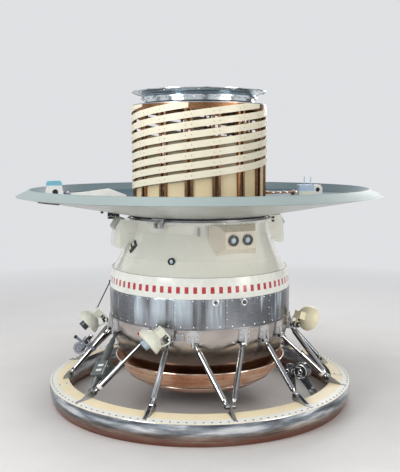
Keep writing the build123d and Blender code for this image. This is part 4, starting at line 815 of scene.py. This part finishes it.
def side_instrument_details():
    """Tubes, rings, lenses and bolts on the side instrument."""
    low, high = strut_line(SIDE_INSTRUMENT_AZ, SIDE_INSTRUMENT_AZ, 0, 0)
    axis = (high - low).normalized()
    tangent = along_at(SIDE_INSTRUMENT_AZ)
    across = axis.cross(tangent).normalized()
    place = axes_at(low + (high - low) * 0.56, tangent, across, axis)
    outward = 1 if across.dot(out_at(SIDE_INSTRUMENT_AZ)) > 0 else -1
    middle = outward * 0.052

    def spot(x, out, z):
        return place @ Vector((x, middle + outward * out, z))

    tubes = piece("side_instrument_tubes", *BLACK)
    bends = ((0.021, 0), (0.03, 0.014), (0.03, 0.03), (0.021, 0.04))
    pipe(tubes, curve_points([spot(x, 0.012, z) for x, z in bends], 8), 0.0042)
    bends = ((0.02, -0.014), (0.031, -0.02), (0.03, -0.04), (0.012, -0.052))
    pipe(tubes, curve_points([spot(x, -0.01, z) for x, z in bends], 8), 0.0038)
    bar(tubes, spot(0, 0, 0.02), spot(0, 0, 0.052), 0.011)
    bar(tubes, spot(0, 0.06, -0.012), spot(0, 0.074, -0.012), 0.0105)
    fittings = piece("side_instrument_fittings", *BRIGHT)
    lenses = piece("side_instrument_lenses", "lens_dark", "box_slate")
    for hand in (-1, 1):
        way = tangent * hand
        bead(fittings, facing(spot(hand * 0.017, 0, 0.004), way), 0.0135, 0.0022, 32, 8)
        for y in (-0.018, 0.018):
            for z in (-0.018, 0.018):
                hex_bolt(fittings, place @ Vector((hand * 0.0168, middle + y, z)), way, 0.004, 0.0034)
        pad = facing(spot(hand * 0.007, 0.008, -0.0495), way)
        bead(fittings, pad, 0.0285, 0.002, 40, 8)
        bead(fittings, pad, 0.012, 0.0018, 28, 8)
        lens = [(0.0115, 0), (0.0115, 0.0016), (0.006, 0.003), (0, 0.0034)]
        spin(lenses, lens, facing(spot(hand * 0.0165, 0, 0.004), way), 28)
    spin(fittings, [(0.0085, 0), (0.013, 0.001), (0.013, 0.006), (0.007, 0.008)],
         facing(spot(0, 0, 0.048), axis), 24)


# antenna and disc


def antenna_details():
    """Screws where helix and ribs cross, nuts, a dark band under the flanges."""
    screws = piece("helix_screws", "copper", "copper")
    rib_turn = math.degrees(RIB_SIDE / RIB_R)
    rib_step = 360 / RIB_PAIRS
    for number in range(HELIX_STARTS):
        low_z = HELIX_LOW_Z + number * HELIX_LEAD / HELIX_STARTS
        turn = (HELIX_TOP_Z - HELIX_HEIGHT - low_z) * 360 / HELIX_LEAD
        end_az = RIB_FIRST_AZ + round((HELIX_FIRST_AZ + turn - RIB_FIRST_AZ) / rib_step) * rib_step
        column = math.ceil((HELIX_FIRST_AZ - RIB_FIRST_AZ) / rib_step)
        while RIB_FIRST_AZ + column * rib_step <= end_az + 0.1:
            for side in (-rib_turn, rib_turn):
                azimuth = RIB_FIRST_AZ + column * rib_step + side
                z = low_z + 0.0185 + (azimuth - HELIX_FIRST_AZ) * HELIX_LEAD / 360
                if HELIX_FIRST_AZ + 1 < azimuth < end_az - 0.3 and z < 1.692:
                    rivet(screws, polar(0.3921, azimuth, z), out_at(azimuth), 0.0024, 0.0014, 6)
            column += 1
    nuts = piece("flange_nuts", "rivet_bright", "flange_metal")
    for azimuth in round_seat(12, 90):
        hex_bolt(nuts, polar(0.37, azimuth, 1.7798), DOWN, 0.0066, 0.0062)
    for azimuth in round_seat(36, 5):
        hex_bolt(nuts, polar(0.3285, azimuth, 1.7438), DOWN, 0.0045, 0.0042)
    neck = piece("flange_neck_band", *BLACK)
    spin(neck, [(0.3186, 1.715), (0.3196, 1.7156), (0.3196, 1.724), (0.3186, 1.7246)], Matrix(), 120)


def disc_details():
    """Rivets and a dark bar under the disc as a painted shadow, a bead on its lip."""
    rivets = piece("disc_rivets", "disc_paint", "disc_paint")
    for azimuth in round_seat(96, 1):
        rivet(rivets, polar(1.021, azimuth, under_z(1.021)), DOWN, 0.0026, 0.0014, 6)
    for azimuth in round_seat(12, 15):
        for step in range(16):
            radius = 0.47 + 0.035 * step
            rivet(rivets, polar(radius, azimuth + 0.5 / radius, under_z(radius)), DOWN, 0.0022, 0.0012, 6)
    lip = piece("disc_lip_bead", "disc_rim_paint", "disc_paint")
    level_bead(lip, 1.2355, 0.9735, 0.0022, 180, 6)
    # A dark bar under the rim's edge: a painted shadow
    slot = piece("rim_slot_shade", "rivet_dark", "disc_paint")
    level_bead(slot, under_z(0.985) - 0.001, 0.985, 0.005, 24, 8, -148, 13)


# pods, photometer, neck fittings


def window_blocks(blocks, screws):
    """Two blocks and four screws on the slanted window of each pod."""
    for turn in (0, 180):
        azimuth = POD_AZ + 14 + turn
        normal = (out_at(azimuth) + Vector((0, 0, 0.4))).normalized()
        tangent = along_at(azimuth)
        centre = polar(0.433, azimuth, 0.916) + normal * 0.012
        place = axes_at(centre, tangent, normal.cross(tangent), normal) @ rotation(50, "Z")
        for x in (-0.016, 0.016):
            block(blocks, place @ shift(x, 0.003, 0.003), (0.016, 0.022, 0.006))
        for x in (-0.026, 0.026):
            for y in (-0.018, 0.018):
                rivet(screws, place @ Vector((x, y, 0)), normal, 0.0022, 0.0014, 6)


def pod_details():
    """Screws on pods and photometer, blocks, lenses, dots and latches."""
    screws = piece("housing_screws", *BRIGHT)
    window_blocks(piece("window_blocks", *WHITE), screws)
    for turn in (0, 180):
        for hand in (-1, 1):
            for r, z in ((0.47, 0.93), (0.5, 0.93), (0.47, 1.045), (0.44, 0.99)):
                spot = station(POD_AZ + turn) @ Vector((hand * 0.08, r, z))
                rivet(screws, spot, along_at(POD_AZ + turn) * hand, 0.0026, 0.0016, 6)
    place = station(PHOTOMETER_AZ)
    for x in (-0.086, 0.086):
        for z in (-0.038, 0.038):
            spot = place @ Vector((x, 0.478, PHOTOMETER_Z + z))
            rivet(screws, spot, out_at(PHOTOMETER_AZ), 0.0028, 0.0018)
    ring_radius = 0.025
    for hand in (-1, 1):
        for step in range(6):
            angle = math.radians(60 * step + 30)
            x = hand * PHOTOMETER_SIDE + ring_radius * math.cos(angle)
            spot = place @ Vector((x, 0.485, PHOTOMETER_Z + ring_radius * math.sin(angle)))
            rivet(screws, spot, out_at(PHOTOMETER_AZ), 0.0016, 0.0012, 6)
    lenses = piece("window_lenses", "bulb_glass", "bulb_glass")
    for hand in (-1, 1):
        spin(lenses, [(0.0125, -0.0002), (0.0125, 0.001), (0.009, 0.0022), (0.0045, 0.003), (0, 0.0032)],
             wall_seat(PHOTOMETER_AZ, hand * PHOTOMETER_SIDE, 0.4812, PHOTOMETER_Z), 28)
    spin(lenses, [(0.0104, 0), (0.0098, 0.0016), (0.006, 0.003), (0, 0.0034)],
         wall_seat(ROUND_PORT_AZ, 0, 0.465, 0.861), 24)
    dots = piece("disc_fitting_dots", *WHITE)
    place = station(DISC_FITTING_AZ)
    for x, z in ((-0.02, 1.075), (0, 1.072), (0.018, 1.078), (-0.008, 1.088)):
        rivet(dots, place @ Vector((x, 0.5362, z)), out_at(DISC_FITTING_AZ), 0.0042, 0.003)
    for step in range(5):
        spot = place @ Vector((0.0272, 0.478 + 0.013 * step, 1.07 + 0.004 * (step % 2)))
        rivet(dots, spot, along_at(DISC_FITTING_AZ), 0.0036, 0.0026)
    latches = piece("pod_latches", *BLACK)
    for z in (1.056, 1.036):
        place = station(POD_AZ + 180) @ shift(-0.0815, 0.436, z)
        block(latches, place, (0.006, 0.016, 0.013), 0.001)


# lamps: azimuth, radius and height of the tilting pin, the way the lamp looks, its tilt

LAMPS = {"lamp_1": (-84, 0.562, 0.468, POD_AZ, 40), "lamp_2": (-17, 0.575, 0.468, POD_AZ, 38),
         "lamp_3": (80, 0.575, 0.442, 130, 20), "lamp_4": (163, 0.575, 0.468, POD_AZ + 180, 38)}


def lamp_place(azimuth, radius, z, aim, tilt):
    """Local frame at a lamp's pin; the lamp looks along X."""
    return shift(*polar(radius, azimuth, z)) @ rotation(aim - 90, "Z") @ rotation(tilt, "Y")


def lamp_details(name, place):
    """Beads, hook and screws of a lamp's head, bands and glass of its barrel."""
    lift = 0.056
    forward = place @ shift(0, 0, lift) @ rotation(90, "Y")
    # The third lamp's rim takes the lighter copy of the lamp cream too: painted light
    rim = piece(name + "_rim_and_hook", OTHER_FINISH.get(name + "_head", "lamp_cream"), "lamp_cream", name)
    bead(rim, forward @ shift(0, 0, 0.0955), 0.0733, 0.0019, 72, 8)
    bead(rim, forward @ shift(0, 0, 0.0335), 0.024, 0.0016, 40, 6)
    hook = curve_points([(-0.006, 0.026, 0.05), (-0.012, 0.03, 0.03), (-0.008, 0.031, 0.006),
                         (0.01, 0.031, -0.01), (0.034, 0.031, -0.006), (0.052, 0.031, 0.004)], 6)
    pipe(rim, [place @ point for point in hook], 0.0042)
    ring = place @ shift(0.06, 0.031, 0.008) @ rotation(90, "X")
    bead(rim, ring, 0.0085, 0.0028, 24, 8)
    screws = piece(name + "_screws", *BRIGHT, name)
    back, top = (place.to_3x3() @ Vector(way) for way in ((-1, 0, 0), UP))
    for y in (-0.018, 0.018):
        for up in (-0.016, 0.016):
            rivet(screws, place @ Vector((-0.014, y, lift + up)), back, 0.0026, 0.0018)
            rivet(screws, place @ Vector((0.02 + up, 0.8 * y, lift + 0.022)), top, 0.0024, 0.0016)
    for x, y in circle(0.0725, 12):
        rivet(screws, forward @ Vector((x, y, 0.0962)), forward.to_3x3() @ Vector(UP), 0.0015, 0.001, 6)
    knob = piece(name + "_knob_and_bands", *BLACK, name)
    block(knob, place @ shift(0.004, 0, 0.03), (0.021, 0.014, 0.02))
    spin(knob, [(0.0278, 0.124), (0.0282, 0.125), (0.0282, 0.1272), (0.0262, 0.1284), (0.0212, 0.1284),
                (0.02, 0.123)], forward, 36)
    spin(knob, [(0.0276, 0.08), (0.0284, 0.0804), (0.0284, 0.0836), (0.0272, 0.084)], forward, 36)
    lens = piece(name + "_lens", "lens_dark", "bulb_glass", name)
    spin(lens, [(0.0206, 0.1232), (0.018, 0.1246), (0.011, 0.1262), (0, 0.1268)], forward, 36)


def red_cap_details():
    """Red plug and its white holder on the second lamp."""
    place = lamp_place(*LAMPS["lamp_2"])
    cap = piece("lamp_2_red_cap", "red_cap", "lamp_cream", "lamp_2")
    spin(cap, [(0.0078, 0), (0.0085, 0.0012), (0.0085, 0.008), (0.006, 0.011), (0, 0.012)],
         place @ shift(0.0935, 0, 0.127) @ rotation(90, "Y"), 20)
    holder = piece("lamp_2_cap_holder", *WHITE, "lamp_2")
    block(holder, place @ shift(0.097, 0, 0.114), (0.009, 0.026, 0.02))


def yoke_details():
    """Covers, pin heads and screws of the yokes, a stay rod by the first lamp."""
    covers = piece("yoke_covers", *BLACK)
    bolts = piece("yoke_bolts", *BRIGHT)
    outline = [(0.0155, 0), (0.016, 0.001), (0.016, 0.007), (0.014, 0.0092), (0.005, 0.0096), (0, 0.0096)]
    for azimuth, radius, z, aim, tilt in LAMPS.values():
        for hand in (-1, 1):
            side = along_at(aim) * hand
            centre = polar(radius, azimuth, z)
            spin(covers, outline, facing(centre + side * 0.0118, side), 28)
            hex_bolt(bolts, centre + side * 0.0212, side, 0.0046, 0.0036)
    for foot_az, z in ((-85.9, 0.448), (-11.3, 0.448), (79, 0.422), (168.8, 0.448)):
        for x in (-0.016, 0.016):
            for up in (0.012, 0.033):
                spot = polar(0.535, foot_az, z + up) + along_at(foot_az) * x
                rivet(bolts, spot, out_at(foot_az), 0.003, 0.002)
    stay = piece("lamp_stay_rod", *BLACK)
    start = polar(0.529, STAY_AZ, 0.686)
    end = polar(0.611, STAY_AZ, 0.5225)
    bar(stay, start, end, 0.0034)
    spin(stay, [(0.009, -0.002), (0.009, 0.004), (0.005, 0.008), (0.0034, 0.012)],
         facing(start, end - start), 18)
    spin(stay, [(0.0034, -0.006), (0.006, -0.004), (0.0065, 0.004), (0.004, 0.009), (0, 0.01)],
         facing(end, end - start), 18)


# units on the disc, probe


def unit_details():
    """Screws and plugs of the sensor units, boom cuffs."""
    screws = piece("unit_screws", *BRIGHT)
    for azimuth, radius, z, half in ((POD_AZ, 0.772, 1.222, 0.024), (POD_AZ + 180, 0.612, 1.1996, 0.027)):
        for hand in (-1, 1):
            side = along_at(azimuth) * hand
            hex_bolt(screws, polar(radius, azimuth, z) + side * half, side, 0.006, 0.004)
    white = ((0.803, 1.196), (0.884, 1.196), (0.812, 1.252), (0.872, 1.252))
    copper = ((0.645, 1.172), (0.72, 1.172), (0.645, 1.196), (0.72, 1.196), (0.78, 1.18), (0.74, 1.232))
    for azimuth, half, spots in ((POD_AZ, 0.022, white), (POD_AZ + 180, 0.025, copper)):
        for r, z in spots:
            for hand in (-1, 1):
                spot = station(azimuth) @ Vector((hand * half, r, z))
                rivet(screws, spot, along_at(azimuth) * hand, 0.0028, 0.0018)
    plugs = piece("unit_port_plugs", "lens_dark", "black")
    for azimuth, reach, z, radius, half in ((POD_AZ, 0.84, 1.2261, 0.0155, 0.0195),
                                            (POD_AZ + 180, 0.758, 1.2133, 0.0135, 0.0225)):
        side = along_at(azimuth)
        centre = polar(reach, azimuth, z)
        bar(plugs, centre - side * half, centre + side * half, radius, 28, 0.05)
    cuffs = piece("copper_boom_cuffs", "rivet_bright", "copper", "copper_boom")
    for reach in (0.465, 0.51, 0.555):
        for x in (-0.014, 0.014):
            spin(cuffs, [(0.005, -0.005), (0.0062, -0.004), (0.0062, 0.004), (0.005, 0.005)],
                 wall_seat(POD_AZ + 180, x, reach, 1.1996), 20)


def probe_details():
    """Ports, rings, knobs, ribs and bolts of the probe."""
    ports = piece("probe_ports", "lens_dark", "probe_dark", "soil_probe")
    rings = piece("probe_rings", *BRIGHT, "soil_probe")
    for heading in (-34, 18):
        out = out_at(heading)
        spot = polar(0.612, PROBE_AZ, 0.243) + out * 0.0345
        spin(ports, [(0.0085, 0), (0.0085, 0.0022), (0.006, 0.003), (0, 0.0032)], facing(spot, out), 20)
        bead(rings, facing(spot + out * 0.0012, out), 0.01, 0.0018, 24, 8)
    ribs = piece("probe_ribs", "bracket_grey", "grey_metal", "soil_probe")
    bolts = piece("probe_hinge_bolts", *BRIGHT)
    centre = polar(PROBE_CASE_R, PROBE_AZ, PROBE_CASE_Z)
    for hand in (-1, 1):
        side = along_at(PROBE_AZ) * hand
        seat = facing(centre + side * 0.0222, side)
        bead(rings, seat, 0.0375, 0.0022, 40, 8)
        bead(rings, seat, 0.011, 0.003, 24, 8)
        seat = facing(centre + side * 0.0218, side)
        spin(ports, [(0.0078, 0), (0.0078, 0.004), (0.005, 0.0056), (0, 0.0058)], seat, 20)
        for up, out in ((-0.02, -0.004), (-0.028, 0.014), (0.022, -0.01)):
            place = station(PROBE_AZ) @ shift(hand * 0.0226, PROBE_CASE_R + out, PROBE_CASE_Z + up)
            block(ribs, place, (0.003, 0.03, 0.0056), 0.001)
        hex_bolt(bolts, polar(0.748, PROBE_AZ, 0.152) + side * 0.02, side, 0.0062, 0.004)
    bar(ribs, polar(0.7, PROBE_AZ, 0.172), polar(0.655, PROBE_AZ, 0.204), 0.0055)


for details in (ring_details, hull_details, pan_details, neck_details, strut_details, instrument_details,
                side_instrument_details, antenna_details, disc_details, pod_details):
    details()
for lamp_name, values in LAMPS.items():
    lamp_details(lamp_name, lamp_place(*values))
for details in (red_cap_details, yoke_details, unit_details, probe_details):
    details()
for row in PIECES:
    make_piece(*row)


# camera, light, floor

CAMERA_PLACE = (0, -4.426, 1.435)
CAMERA_PITCH = 6.24
CAMERA_ROLL = 0.15
CAMERA_LENS = 57.47
IMAGE_HEIGHT = 472
CENTRE_SHIFT = 0.8 / IMAGE_HEIGHT
BACKDROP = (0.74, 0.75, 0.77)

camera = bpy.data.objects.new("camera", bpy.data.cameras.new("camera"))
camera.data.lens = CAMERA_LENS
camera.data.shift_x = CENTRE_SHIFT
camera.location = CAMERA_PLACE
camera.rotation_euler = (math.radians(90 - CAMERA_PITCH), math.radians(CAMERA_ROLL), 0)
bpy.context.collection.objects.link(camera)
bpy.context.scene.camera = camera
bpy.context.scene.view_settings.view_transform = "Standard"


def area_light(name, place, target, size, power, color=(1, 1, 1)):
    """A soft rectangular light that looks at a point."""
    light = bpy.data.lights.new(name, "AREA")
    light.shape = "RECTANGLE"
    light.size, light.size_y = size
    light.energy = power
    light.color = color
    thing = bpy.data.objects.new(name, light)
    thing.location = place
    thing.rotation_euler = (Vector(target) - Vector(place)).to_track_quat("-Z", "Y").to_euler()
    bpy.context.collection.objects.link(thing)


area_light("top_light", (-0.6, -0.8, 4.2), (0, 0, 0.8), (3.2, 3.2), 128)
area_light("key_light", (-3.2, -3.4, 2.8), (0, 0, 0.9), (1.6, 2.2), 92)
area_light("fill_light", (3.6, -2.6, 1.8), (0, 0, 0.8), (1.4, 2.2), 52, (1, 0.96, 0.9))
area_light("back_light", (1.5, 3.6, 2.6), (0, 0, 1), (2.4, 1.6), 50)


def seen_rays(tree):
    """Factors of camera rays, and of rays off mirrors and through glass."""
    rays = tree.nodes.new("ShaderNodeLightPath").outputs
    return rays["Is Camera Ray"], math_node("MAXIMUM", rays["Is Glossy Ray"], rays["Is Transmission Ray"])


def studio_world():
    """Pale backdrop, dark upright boards for mirrors only, and a plain even light."""
    world = bpy.data.worlds.new("studio")
    world.use_nodes = True
    nodes = world.node_tree.nodes
    direct, mirrored = seen_rays(world.node_tree)
    direction = nodes.new("ShaderNodeTexCoord").outputs["Generated"]
    upright = add("ShaderNodeMapping", {"Vector": direction, "Scale": (1, 1, 0.18)}).outputs[0]
    boards = ramp(noise(upright, 3.4, 1), 0.5, 0.44)
    tone = mix(direct, (0.48, 0.48, 0.49), BACKDROP)
    tone = mix(mirrored, tone, mix(boards, (0.84, 0.85, 0.87), (0.1, 0.1, 0.11)))
    link(tone, nodes["Background"].inputs["Color"])
    bpy.context.scene.world = world


def floor_paint():
    """Pale floor that fades into the backdrop, as the camera and mirrors see it."""
    material = paint("floor_paint", (0.62, 0.61, 0.6), rough=0.6, vary=0.03, dirt=0.1)
    nodes = material.node_tree.nodes
    place = coordinates(material)["Object"]
    reach = vector_node("LENGTH", place).outputs["Value"]
    fade = times(math_node("MAXIMUM", *seen_rays(material.node_tree)), ramp(reach, 1.8, 5.5))
    glow = nodes.new("ShaderNodeEmission")
    glow.inputs["Color"].default_value = (*BACKDROP, 1)
    layers = {"Fac": fade, 1: nodes["Principled BSDF"].outputs[0], 2: glow.outputs[0]}
    link(add("ShaderNodeMixShader", layers).outputs[0], nodes["Material Output"].inputs["Surface"])
    return material


studio_world()
bpy.ops.mesh.primitive_circle_add(vertices=96, radius=14, fill_type="NGON")
floor = bpy.context.object
floor.name = "floor"
floor.data.materials.append(floor_paint())
